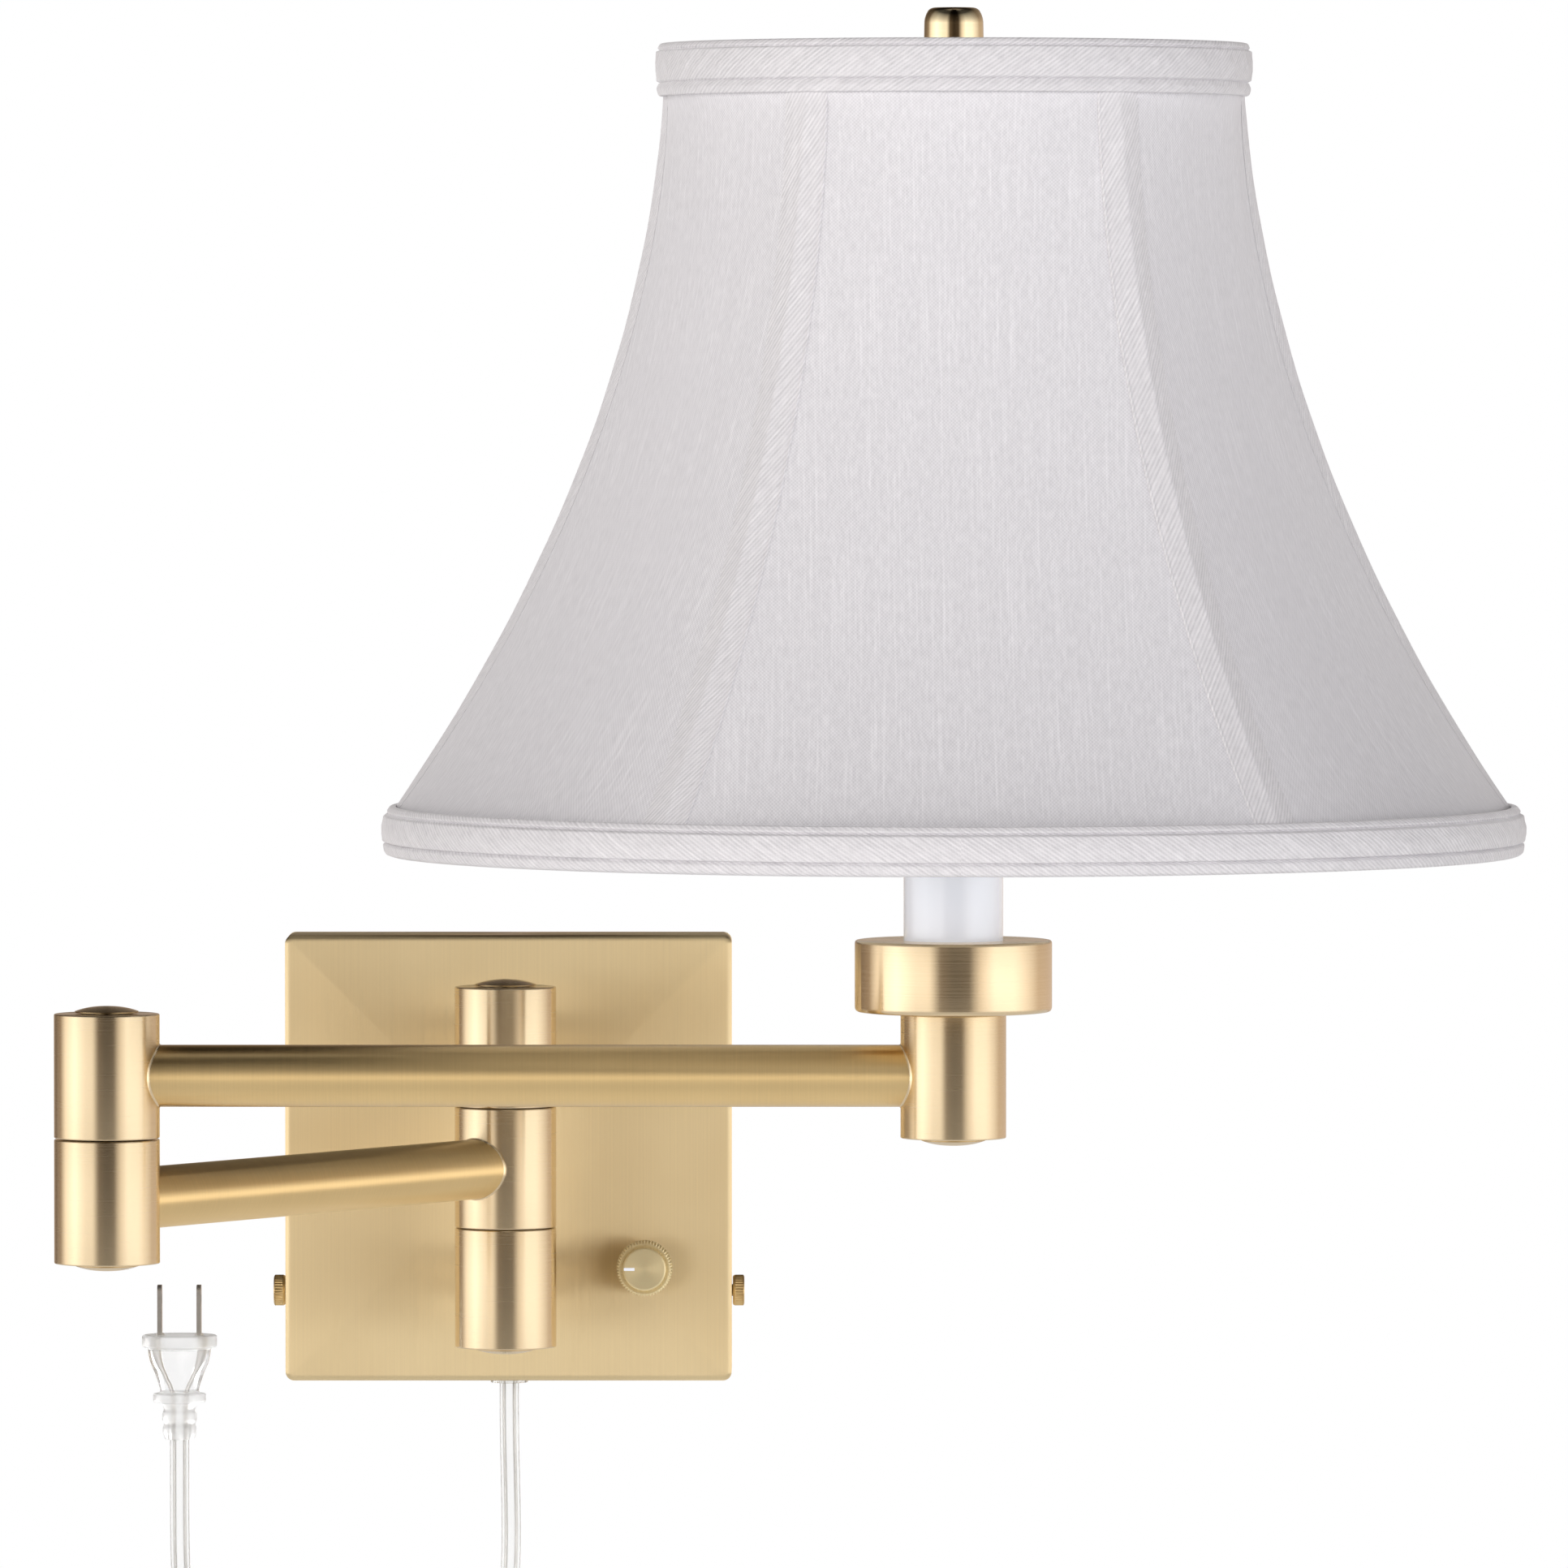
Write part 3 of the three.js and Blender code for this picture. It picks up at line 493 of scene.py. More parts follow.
barrelBrass = brushedBrass("barrelBrass", (20, 2400, 20), rough=(0.24, 0.28), depth=0.000001,
                           dark=(0.76, 0.605, 0.38), light=(0.84, 0.68, 0.45))
tubeBrass = brushedBrass("tubeBrass", (30, 1400, 30), rough=(0.38, 0.46), depth=0.0000025,
                         dark=(0.84, 0.615, 0.295), light=(0.94, 0.70, 0.345))
cupBrass = brushedBrass("cupBrass", (12, 2200, 12), rough=(0.18, 0.25), depth=0.000004)
plateBrass = brushedBrass("plateBrass", (1600, 1600, 7), rough=(0.44, 0.56), kind="Object",
                          spread="round", depth=0.000009,
                          dark=(0.88, 0.70, 0.405), light=(1.0, 0.825, 0.505))
finePolish = brushedBrass("finePolish", (40, 900, 40), rough=(0.04, 0.08), depth=0.000002,
                          stretch=0.2, dark=(0.78, 0.64, 0.40), light=(0.84, 0.70, 0.46))
knobBrass = brushedBrass("knobBrass", (6, 4200, 6), rough=(0.6, 0.68), depth=0.000005,
                         stretch=0.6, dark=(0.98, 0.82, 0.50), light=(1.0, 0.91, 0.62))
saddleBrass = plainFinish("saddleBrass", (0.74, 0.58, 0.34), (0.82, 0.66, 0.42), (0.2, 0.28),
                          Metallic=1.0)
zincSteel = plainFinish("zincSteel", (0.46, 0.47, 0.48), (0.6, 0.61, 0.62), (0.3, 0.45),
                        Metallic=1.0)
bladeMetal = plainFinish("bladeMetal", (0.62, 0.6, 0.56), (0.76, 0.74, 0.7), (0.36, 0.46),
                         density=(200, 200, 2600), Metallic=1.0)
# The emission is painted light: a faint bluish glow stands in for light reaching the white plastic
# under the shade; none of these white parts is a lamp.
glossWhitePaintedGlow = plainFinish("glossWhitePaintedGlow", (0.84, 0.87, 0.96), (0.88, 0.91, 0.99), (0.12, 0.17),
                         Coat_Weight=0.5, Coat_Roughness=0.08, Emission_Strength=0.19,
                         Emission_Color=(0.86, 0.91, 1, 1))
matteBlack = plainFinish("matteBlack", (0.018, 0.018, 0.02), (0.03, 0.03, 0.032), (0.45, 0.6))
nylonWhite = plainFinish("nylonWhite", (0.7, 0.68, 0.6), (0.76, 0.74, 0.66), (0.4, 0.5))
clearVinyl = plainFinish("clearVinyl", (0.975, 0.975, 0.97), (1.0, 1.0, 0.99), (0.14, 0.24),
                         density=(900, 900, 60), Transmission_Weight=0.93, IOR=1.36)
strandMetal = plainFinish("strandMetal", (0.7, 0.68, 0.65), (0.88, 0.86, 0.83), (0.35, 0.5),
                          density=(2500, 2500, 500), depth=0.00005, Metallic=1.0)
frostGlass = plainFinish("frostGlass", (0.86, 0.86, 0.84), (0.92, 0.92, 0.9), (0.3, 0.4),
                         Subsurface_Weight=0.3, Subsurface_Radius=(0.01, 0.01, 0.01))
panelCloth = slubbedCloth("panelCloth", (0.60, 0.59, 0.615), (0.83, 0.82, 0.845))
tapeCloth = slubbedCloth("tapeCloth", (0.58, 0.57, 0.59), (0.84, 0.825, 0.845), turn=0.6,
                         depth=0.00013, lines=0.8)
trimCloth = slubbedCloth("trimCloth", (0.56, 0.55, 0.57), (0.83, 0.815, 0.835), turn=0.95,
                         depth=0.00016, lines=0.75)
liningCloth = slubbedCloth("liningCloth", (0.78, 0.77, 0.75), (0.86, 0.85, 0.83), depth=0.00004)
print("materials made")


barrelLook = {
    "radius": 16.2,
    "height": 38.1,
    "hubCloser": 0.14,  # the hub's seams show finer than the elbow's
    "bore": 8.0,
    "ease": 0.45,
    "capRadius": 9.8,
    "capRise": 2.25,
    "capRim": 0.7,
    "capPower": 2.4,
}


def barrelPiece(name, node, body):
    look = barrelLook
    half = look["height"] / 2 + look["hubCloser"] * node.endswith("hub")
    outline = easedOutline([
        (look["bore"], -half), (look["radius"], -half, look["ease"]),
        (look["radius"], half, look["ease"]), (look["bore"], half),
    ], loop=True)
    piece = turnedPiece(name, outline, middle(node), barrelBrass, loop=True)
    finishPiece(piece, body, "satin_brass", node)


# Low dome: height = rim + (rise - rim) * (1 - (r / radius) ** power).
def capPiece(name, node, body, sign):
    look = barrelLook
    low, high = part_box(node)
    seat = low.z if sign < 0 else high.z
    place = middle(node)
    place[2] = seat - sign * look["capRise"] * mm
    radius = np.linspace(1, 0, 14)
    rise = look["capRim"] + (look["capRise"] - look["capRim"]) * (1 - radius ** look["capPower"])
    dome = np.stack([radius * look["capRadius"], rise], axis=-1) * mm
    skirt = np.array([[0, -6], [4, -6], [4, 0.25], [look["capRadius"] - 0.15, 0.25]]) * mm
    piece = turnedPiece(name, np.concatenate([skirt, dome]), place, barrelBrass, axis=(0, 0, sign))
    finishPiece(piece, body, "satin_brass", node)


for name, node, body in (
    ("columnTop", "column_top_barrel", "wall_plate"),
    ("columnBottom", "column_bottom_barrel", "wall_plate"),
    ("armHub", "lower_arm_hub", "lower_arm"),
    ("elbowLower", "elbow_lower_barrel", "lower_arm"),
    ("elbowUpper", "elbow_upper_barrel", "upper_arm"),
    ("socketBarrel", "socket_barrel", "upper_arm"),
):
    barrelPiece(name, node, body)

for name, node, body, sign in (
    ("columnCapTop", "column_cap_top", "wall_plate", 1),
    ("columnCapBottom", "column_cap_bottom", "wall_plate", -1),
    ("elbowCapTop", "elbow_cap_top", "lower_arm", 1),
    ("elbowCapBottom", "elbow_cap_bottom", "lower_arm", -1),
    ("socketCap", "socket_barrel_cap", "upper_arm", -1),
):
    capPiece(name, node, body, sign)

tubeLook = {"radius": 9.525, "reach": 13.5, "bead": 1.5, "beadSunk": 0.05, "beadFoot": 0.8}


# Straight tube between two axes, running a little into both barrels.
def tubePiece(name, node, body, start, end, height):
    along = (end - start) / np.linalg.norm(end - start)
    length = np.linalg.norm(end - start) / mm
    reach = tubeLook["reach"]
    outline = easedOutline([
        (0, reach), (tubeLook["radius"], reach), (tubeLook["radius"], length - reach),
        (0, length - reach),
    ])
    stations = np.linspace(reach, length - reach, 24)[1:-1]
    between = np.stack([np.full(len(stations), tubeLook["radius"]), stations], axis=-1) * mm
    outline = np.concatenate([outline[:2], between, outline[2:]])
    place = start + (0, 0, height)
    piece = turnedPiece(name, outline, place, tubeBrass, axis=along, steps=72)
    return finishPiece(piece, body, "satin_brass", node)


# Weld bead where a tube meets a barrel: the line x = sqrt(R^2 - y^2) on the barrel, with a
# concave fillet from the tube out to the barrel.
def beadPiece(name, body, centre, along, height):
    look = tubeLook
    angle = roundAngles(96)
    t = np.linspace(0, 1, 9)
    outward = look["bead"] * (1 - np.sqrt(1 - (1 - t) ** 2)) - look["beadSunk"]
    forward = look["bead"] * (1 - np.sqrt(1 - t ** 2)) - look["beadSunk"]
    radius = look["radius"] + np.concatenate([outward, [-look["beadFoot"]]])
    lift = np.concatenate([forward, [-look["beadFoot"]]])
    y = radius[:, None] * np.sin(angle)
    z = radius[:, None] * np.cos(angle)
    x = np.sqrt(barrelLook["radius"] ** 2 - y ** 2) + lift[:, None]
    side = np.cross((0, 0, 1), along)
    points = (x[..., None] * along + y[..., None] * side + z[..., None] * np.array((0, 0, 1))) * mm
    piece = gridPiece(name, points + centre + (0, 0, height), barrelBrass, closeRows=True, smooth=60)
    finishPiece(piece, body, "satin_brass")


lowerHeight = middle("lower_arm_hub")[2]
upperHeight = middle("elbow_upper_barrel")[2]
lowerAlong = (elbowAt - columnAt) / np.linalg.norm(elbowAt - columnAt)
upperAlong = (socketAt - elbowAt) / np.linalg.norm(socketAt - elbowAt)
tubePiece("lowerTube", "lower_arm_tube", "lower_arm", columnAt, elbowAt, lowerHeight)
tubePiece("upperTube", "upper_arm_tube", "upper_arm", elbowAt, socketAt, upperHeight)
beadPiece("hubBead", "lower_arm", columnAt, lowerAlong, lowerHeight)
beadPiece("elbowBeadLower", "lower_arm", elbowAt, -lowerAlong, lowerHeight)
beadPiece("elbowBeadUpper", "upper_arm", elbowAt, upperAlong, upperHeight)
beadPiece("socketBead", "upper_arm", socketAt, -upperAlong, upperHeight)
print("swivels and tubes made")


plateLook = {
    "half": 72.0,
    "depth": 25.0,
    "corner": 2.8,
    "leastCorner": 0.4,
    "ease": 2.0,
    "innerEase": 1.2,
    "lipEase": 0.3,
    "wall": 1.5,
}


# Pan: a folded profile of (inset, depth) carried round a square with rounded corners, so
# each row is a rounded square whose corner shrinks with the inset.
def platePiece():
    look = plateLook
    face, floor = look["depth"], look["depth"] - look["wall"]
    profile = easedOutline([
        (look["half"], face), (0, face, look["ease"]), (0, 0, look["lipEase"]),
        (look["wall"], 0, look["lipEase"]), (look["wall"], floor, look["innerEase"]),
        (look["half"], floor),
    ], steps=7) / mm
    quarter = np.linspace(0, np.pi / 2, 9)
    angle = np.concatenate([quarter + k * np.pi / 2 for k in range(4)])
    sign = np.repeat([[1, 1], [-1, 1], [-1, -1], [1, -1]], len(quarter), axis=0)
    inset, depth = profile[:, 0][:, None, None], profile[:, 1][:, None]
    least = np.where(inset < look["half"], look["leastCorner"], 0)
    corner = np.clip(look["corner"] - inset, least, None)
    reach = look["half"] - inset - corner
    flat = sign[None] * reach + corner * np.stack([np.cos(angle), np.sin(angle)], axis=-1)[None]
    points = np.stack([
        flat[..., 0], np.broadcast_to(-depth, flat.shape[:2]), flat[..., 1],
    ], axis=-1) * mm
    piece = gridPiece("plateCover", points, plateBrass)
    return finishPiece(piece, "wall_plate", "satin_brass", "backplate_cover")


def boxPiece(name, low, high, material):
    corners = np.array([[x, y, z] for x in (low[0], high[0]) for y in (low[1], high[1])
                        for z in (low[2], high[2])])
    faces = [(0, 1, 3, 2), (4, 6, 7, 5), (0, 4, 5, 1), (2, 3, 7, 6), (0, 2, 6, 4), (1, 5, 7, 3)]
    return meshPiece(name, corners, faces, None, material)


platePiece()


standoffLook = {
    "stud": 4.7,
    "flange": 11,
    "flangeRise": 1.6,
    "neck": 8.4,
    "post": 8,
    "reach": 56,
    "clearance": 0.1,
}


# Standoffs: a stud through the plate, a flange against it and a post into the barrel's back.
def standoffPiece(name, node):
    look = standoffLook
    back = -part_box(node)[1].y / mm
    centre = middle(node)
    face = plateLook["depth"] + look["clearance"]
    outline = easedOutline([
        (0, back), (look["stud"], back, 0.5), (look["stud"], face), (look["flange"], face, 0.4),
        (look["flange"], face + look["flangeRise"], 0.8), (look["neck"], face + 2.8, 0.8),
        (look["post"], face + 5, 1), (look["post"], look["reach"]), (0, look["reach"]),
    ])
    piece = turnedPiece(name, outline, np.array([centre[0], 0, centre[2]]), barrelBrass,
                        axis=(0, -1, 0), steps=72)
    finishPiece(piece, "wall_plate", "satin_brass", node)


standoffPiece("standoffTop", "standoff_upper")
standoffPiece("standoffBottom", "standoff_lower")

knurlLook = {
    "knobTeeth": 56,
    "knobDepth": 0.07,
    "screwTeeth": 34,
    "screwDepth": 0.05,
}
knobLook = {
    "gap": 4.2,
    "radius": 9,
    "height": 8.6,
    "knurlEnd": 6.8,
    "face": 6.1,
    "pointerFrom": 3.2,
    "pointerTo": 6.6,
    "pointerHalf": 0.45,
}


# Knurl: rounded teeth, 1 - depth * |sin(teeth * angle / 2)| ^ 1.5, only between two heights.
def knurl(teeth, depth, low, high):
    def ripple(angle, height):
        inside = ((height > low * mm) & (height < high * mm)).astype(float)
        return 1 - inside * depth * np.abs(np.sin(teeth * angle / 2)) ** 1.5
    return ripple


def knobPiece():
    centre = middle("dimmer_knob")
    look = knobLook
    back = plateLook["depth"] + look["gap"]
    front = back + look["height"]
    edge = look["radius"]
    outline = easedOutline([
        (0, back), (edge - 0.4, back, 0.3), (edge, back + 0.8, 0.3), (edge, back + 0.81),
        (edge, back + 6.3, 0.2), (edge - 1.0, back + 6.9, 0.15), (edge - 2.0, back + 6.5, 0.15),
        (edge - 2.1, back + 8.2, 0.25), (edge - 2.5, front, 0.25), (0, front),
    ])
    face = np.linspace(look["face"], 0, 12)[:, None] * (1, 0) + (0, front)
    outline = np.concatenate([outline[:-1], face * mm])
    place = np.array([centre[0], 0, centre[2]])
    ripple = knurl(knurlLook["knobTeeth"], knurlLook["knobDepth"], back + 0.805,
                   back + look["knurlEnd"])
    knob = turnedPiece("knobBody", outline, place, knobBrass, axis=(0, -1, 0), steps=480,
                       ripple=ripple, smooth=45)
    half = look["pointerHalf"]
    low = place + np.array([-look["pointerTo"], -(front + 0.12), -half]) * mm
    high = place + np.array([-look["pointerFrom"], -(front - 0.2), half]) * mm
    pointer = boxPiece("knobPointer", low, high, glossWhitePaintedGlow)
    finishPiece(pointer, "dimmer_knob", "satin_brass")
    finishPiece(knob, "dimmer_knob", "satin_brass", "dimmer_knob")


def thumbscrewPiece(name, node, body, side):
    centre = middle(node)
    look = knurlLook
    outline = easedOutline([
        (0, -9), (1.9, -9, 0.4), (1.9, 0.35), (4.6, 0.35, 0.3), (5, 1.0, 0.2), (5, 1.31), (5, 3.7),
        (5, 3.71, 0.2), (4.4, 4.1, 0.3), (1, 4.0), (0, 4.0),
    ])
    place = np.array([side * plateLook["half"] * mm, centre[1], centre[2]])
    ripple = knurl(look["screwTeeth"], look["screwDepth"], 1.305, 3.705)
    piece = turnedPiece(name, outline, place, tubeBrass, axis=(side, 0, 0), steps=272,
                        ripple=ripple, smooth=45)
    finishPiece(piece, body, "satin_brass", node)


knobPiece()
thumbscrewPiece("screwLeft", "thumbscrew_left", "thumbscrew_left", -1)
thumbscrewPiece("screwRight", "thumbscrew_right", "thumbscrew_right", 1)
print("wall plate made")


socketLook = {
    "cup": [
        (5.2, 58.2), (30.25, 58.2, 1.6), (30.25, 80.2, 1.0), (15.6, 80.2, 0.4), (15.6, 78.8, 0.4),
        (28.8, 78.8, 0.8), (28.8, 59.7, 0.8), (5.2, 59.7),
    ],
    "candle": [(13.75, 60.1, 0.2), (15.25, 60.1, 0.3), (15.25, 115, 0.5), (13.75, 115, 0.4)],
    "shell": [
        (5.2, 117.2), (9.4, 117.2, 0.8), (16.4, 126.4, 1.4), (16.4, 147, 0.3), (16.9, 147.6, 0.4),
        (16.9, 149.4, 0.4), (16.4, 150, 0.3), (16.4, 171.4, 0.4), (15.0, 171.4, 0.4),
        (15.0, 128, 1.2), (8.8, 119, 0.4), (5.2, 119),
    ],
    "glass": [
        (13, 0, 160), (13.2, 0, 172), (17.5, 0, 184), (24.6, 0, 198), (29.3, 0, 211),
        (29, 0, 223), (24.6, 0, 234), (16, 0, 241.6), (7, 0, 244.6), (0, 0, 245),
    ],
    "baseFoot": [[0, 134.7], [4, 134.7], [6, 135.4], [11, 136.6]],
    "baseTop": 159.6,
}


# Thread as rings round the axis: radius - depth * |sin(pi * (height - low) / pitch)|.
def ringedOutline(radius, depth, pitch, low, high, count):
    height = np.linspace(low, high, count)
    wave = depth * np.abs(np.sin((height - low) * np.pi / pitch))
    return np.stack([radius - wave, height], axis=-1)


def socketPieces():
    look = socketLook
    for name, key, material, slot, node, steps in (
        ("socketCup", "cup", cupBrass, "satin_brass", "socket_cup", 128),
        # the candle sleeve's white plastic carries a painted glow, standing in for light under the
        # shade
        ("candleSleeve", "candle", glossWhitePaintedGlow, "white_plastic", "candle_sleeve", 96),
        ("socketShell", "shell", finePolish, "polished_brass", "socket_shell", 96),
    ):
        outline = easedOutline(look[key], loop=True)
        piece = turnedPiece(name, outline, socketAt, material, loop=True, steps=steps)
        finishPiece(piece, "upper_arm", slot, node)
    glass = smoothPath(look["glass"], 5)[:, [0, 2]]
    glass = np.concatenate([[[0, glass[0, 1]]], glass]) * mm
    finishPiece(turnedPiece("bulb", glass, socketAt, frostGlass, steps=72, smooth=60),
                "upper_arm", "bulb_glass", "bulb_glass")
    thread = ringedOutline(13.0, 0.55, 3.2, 137, 159, 67)
    base = np.concatenate([look["baseFoot"], thread, [[0, look["baseTop"]]]]) * mm
    finishPiece(turnedPiece("bulbScrewBase", base, socketAt, zincSteel, steps=64, smooth=60),
                "upper_arm", "zinc_steel", "bulb_base")


harpLook = {
    "rise": [
        (20.5, 142), (23, 151), (36, 172), (51, 203), (56.5, 232), (51, 265), (36.5, 300), (18, 327),
    ],
    "top": 338,
    "wire": 1.6,
    "foot": [
        (0, 127.9), (2.6, 127.9, 0.3), (3.1, 128.6, 0.3), (3.1, 141.5, 0.6), (1.9, 144, 0.5),
        (0, 144),
    ],
    "hub": [(0, 335.6), (5, 335.6, 0.5), (5, 342.2, 0.4), (3, 342.2)],
    "studTop": 356.6,
}


# Harp: one wire from foot to foot, on two ferrules, with a hub and a ringed stud on top.
def harpPieces():
    look = harpLook
    rise = look["rise"]
    loop = [(x, 0, z) for x, z in rise] + [(0, 0, look["top"])] + [(-x, 0, z) for x, z in rise[::-1]]
    path = smoothPath(loop, 8) * mm + socketAt
    parts = [sweptPiece("harpWire", path, roundSection(look["wire"] * mm), finePolish)]
    for side in (-1, 1):
        place = socketAt + (side * rise[0][0] * mm, 0, 0)
        foot = easedOutline(look["foot"])
        parts.append(turnedPiece("harpFoot", foot, place, finePolish, steps=32))
    thread = ringedOutline(3.0, 0.28, 0.94, 343, 356, 79)
    hub = np.concatenate([easedOutline(look["hub"]), thread * mm, [[0, look["studTop"] * mm]]])
    parts.append(turnedPiece("harpHub", hub, socketAt, finePolish, steps=48))
    finishPiece(joinPieces("harpLoop", parts), "upper_arm", "satin_brass", "harp")


spiderLook = {
    "disc": [(3.6, 342.6, 0.3), (11, 342.6, 0.5), (11, 344.2, 0.5), (3.6, 344.2, 0.3)],
    "route": [(9, 343.4), (30, 343.4), (60, 344), (76, 346.6), (83.6, 351)],
    "wire": 1.2,
}
finialLook = {
    "bore": [[0, 358.4], [3.4, 358.4]],
    "drum": [
        (3.4, 344.6, 0.3), (8.8, 344.6, 0.5), (9.3, 345.6, 0.6), (9.0, 362.9, 2.2),
        (7.2, 365.5, 1.4), (0, 365.5),
    ],
}


# Spider: three wires from a hub disc up to the top ring.
def spiderPiece():
    look = spiderLook
    disc = easedOutline(look["disc"], loop=True)
    parts = [turnedPiece("spiderHub", disc, socketAt, finePolish, loop=True, steps=64)]
    for turn in roundAngles(3, np.pi / 2):
        route = [(r * np.cos(turn), r * np.sin(turn), z) for r, z in look["route"]]
        path = smoothPath(route, 8) * mm + socketAt
        parts.append(sweptPiece("spiderWire", path, roundSection(look["wire"] * mm, 12), finePolish,
                                across=(-np.sin(turn), np.cos(turn), 0)))
    finishPiece(joinPieces("spider", parts), "shade", "satin_brass", "shade_spider")


def finialPiece():
    drum = easedOutline(finialLook["drum"], steps=8)
    outline = np.concatenate([np.array(finialLook["bore"]) * mm, drum])
    finishPiece(turnedPiece("finialDrum", outline, socketAt, finePolish, steps=128), "finial",
                "polished_brass", "finial")


socketPieces()
harpPieces()
spiderPiece()
finialPiece()
print("socket end made")


shadeLook = {
    "ribAngles": np.radians([-31, 33.5, 91, 150, 210, 269]),
    "top": 354.5,
    "bottom": 106.5,
    "bellTop": 338.6,
    "bellBottom": 118.0,
    "topRadius": 88.0,
    "slope": 0.069,
    "curve": 0.00141,
    "flatness": 0.078,
    "clothThickness": 0.45,
    "liningThickness": 0.4,
    "liningInset": 0.6,
    "panelColumns": 40,
    "girthRadius": 172,
    "stripHeight": 0.30,
}
tapeLook = {
    "width": 15.0,
    "fold": 0.5,
    "foldEnd": 0.955,
    "groove": 0.36,
    "grooveAt": 0.87,
    "grooveWidth": 0.035,
    "ridge": 0.3,
    "ridgeWidth": 1.7,
}


# Bell: radius = top + slope * drop + curve * drop^2 between the trims, upright inside them.
def bellRadius(height):
    look = shadeLook
    drop = look["bellTop"] - np.clip(height, look["bellBottom"], look["bellTop"])
    return look["topRadius"] + look["slope"] * drop + look["curve"] * drop ** 2


# Shade surface: around counts panels from 0 to 6, and each panel is stretched flatter than
# the bell by flatness * sqrt(4 f (1 - f)) * (1 - (2 across - 1)^2), f being the height's share.
def shadePoints(around, height, offset):
    look = shadeLook
    panel = np.clip(np.floor(around).astype(int), 0, 5)
    across = around - panel
    angle = look["ribAngles"][panel] + ribSpans()[panel] * across
    fall = np.clip((height - look["bellBottom"]) / (look["bellTop"] - look["bellBottom"]), 0, 1)
    flat = look["flatness"] * np.sqrt(4 * fall * (1 - fall)) * (1 - (2 * across - 1) ** 2)
    radius = bellRadius(height) * (1 - flat) + offset
    height = np.broadcast_to(height, radius.shape)
    return np.stack([radius * np.sin(angle), -radius * np.cos(angle), height], axis=-1) * mm


# Slow unevenness of hand-stretched cloth: three long waves, never more than a third of a mm.
def clothWaves(around, height):
    waves = ((0.14, 7.3, 0.02), (0.1, 17.9, -0.011), (0.06, 41, 0.031))
    return sum(size * np.sin(around * turns + height * lean) for size, turns, lean in waves)


def ribSpans():
    ribs = shadeLook["ribAngles"]
    return np.diff(np.append(ribs, ribs[0] + 2 * np.pi))


# Six panels in one skin, two layers thick; its columns follow the ribs.
def skinPiece(name, offset, thickness, heights, material, waves):
    columns = shadeLook["panelColumns"]
    around = np.linspace(0, 6, 6 * columns, endpoint=False)[None, :]
    level = heights[:, None]
    uneven = waves * clothWaves(around, level)
    outer = shadePoints(around, level, offset + uneven)
    inner = shadePoints(around, level, offset - thickness + uneven)
    points = np.concatenate([outer, inner[::-1]]) + socketAt
    spans = ribSpans()
    rowHeights = np.concatenate([heights, heights[::-1], heights[:1]])

    # threads run down each panel side by side, so u is measured from the panel's middle
    def uvAt(row, column, faceColumn):
        panel = faceColumn // columns
        share = column / columns - panel - 0.5
        radius = bellRadius(rowHeights[row]) * mm
        return share * spans[panel] * radius + panel * 0.7, rowHeights[row] * mm
    return gridPiece(name, points, material, closeRows=True, smooth=60, uvAt=uvAt)


def shadeHeights(low, high, count):
    look = shadeLook
    return np.concatenate([
        [low], np.linspace(look["bellBottom"], look["bellTop"], count), [high],
    ])


def shadeCloth():
    look = shadeLook
    heights = shadeHeights(look["bottom"] + 1.5, look["top"] - 1.5, 60)
    cloth = skinPiece("shadeCloth", 0, look["clothThickness"], heights, panelCloth, 1)
    lining = skinPiece("shadeLining", -look["liningInset"], look["liningThickness"], heights,
                       liningCloth, 0.5)
    finishPiece(cloth, "shade", "linen", "shade_cover")
    finishPiece(lining, "shade", "linen")
    return cloth, lining


# Tape: a folded strip over a rib. s runs across it in mm. Its folded edge, on the side the
# sign says, stands proud and drops steeply, with a narrow groove inside it. Its other edge
# fades into the cloth. Groove and ridge are bell curves, depth * exp(-((s - at) / width)^2).
def tapePiece(k, name, node, sign):
    look = shadeLook
    tape = tapeLook
    heights = np.linspace(look["bellBottom"] + 1.5, look["bellTop"] + 1, 90)[:, None]
    share = np.sin(np.linspace(-np.pi / 2, np.pi / 2, 35))[None, :]
    s = tape["width"] / 2 * share
    turn = s / bellRadius(heights)
    spans = ribSpans()
    around = (k + np.where(s >= 0, turn / spans[k], turn / spans[k - 1])) % 6
    folded = share * sign
    drop = np.clip((folded - tape["foldEnd"]) / (1 - tape["foldEnd"]), 0, 1)
    edge = np.clip((folded + 1) / 0.5, 0, 1) * (1 - drop)
    groove = tape["groove"] * np.exp(-((folded - tape["grooveAt"]) / tape["grooveWidth"]) ** 2)
    ridge = tape["ridge"] * np.exp(-(s / tape["ridgeWidth"]) ** 2)
    wave = 0.05 * np.sin(heights * 0.21 + k) + 0.04 * np.sin(heights * 0.083 + 2 * k)
    waves = clothWaves(around, heights)
    rise = 0.12 + tape["fold"] * edge - groove + ridge + wave * edge
    top = shadePoints(around, heights, rise + waves)
    under = shadePoints(around, heights, 0.06 + 0.1 * edge + waves)
    points = capped(np.concatenate([top, under[:, ::-1]], axis=1)) + socketAt
    piece = gridPiece(name, points, tapeCloth, smooth=70)
    return finishPiece(piece, "shade", "trim_linen", node)


# Bound edge: a closed band outline round the ring, with soft bias puckers that vary round it.
def trimPiece(name, node, corners, puckers):
    outline = easedOutline(corners, steps=6, loop=True)
    steps = 720
    angle = roundAngles(steps)[None, :]
    height = outline[:, 1:2] / mm
    wave = sum(
        size * np.sin(count * angle + height * lean + count)
        for size, count, lean in puckers
    )
    outer = np.clip((outline[:, 0:1] / mm - outline[:, 0].mean() / mm) / 1.2, 0, 1)
    radius = outline[:, 0:1] + wave * outer * mm
    points = np.stack([
        radius * np.sin(angle), -radius * np.cos(angle),
        np.repeat(outline[:, 1:2], steps, axis=1),
    ], axis=-1) + socketAt
    piece = gridPiece(name, points, trimCloth, closeRows=True, smooth=60)
    return finishPiece(piece, "shade", "trim_linen", node)


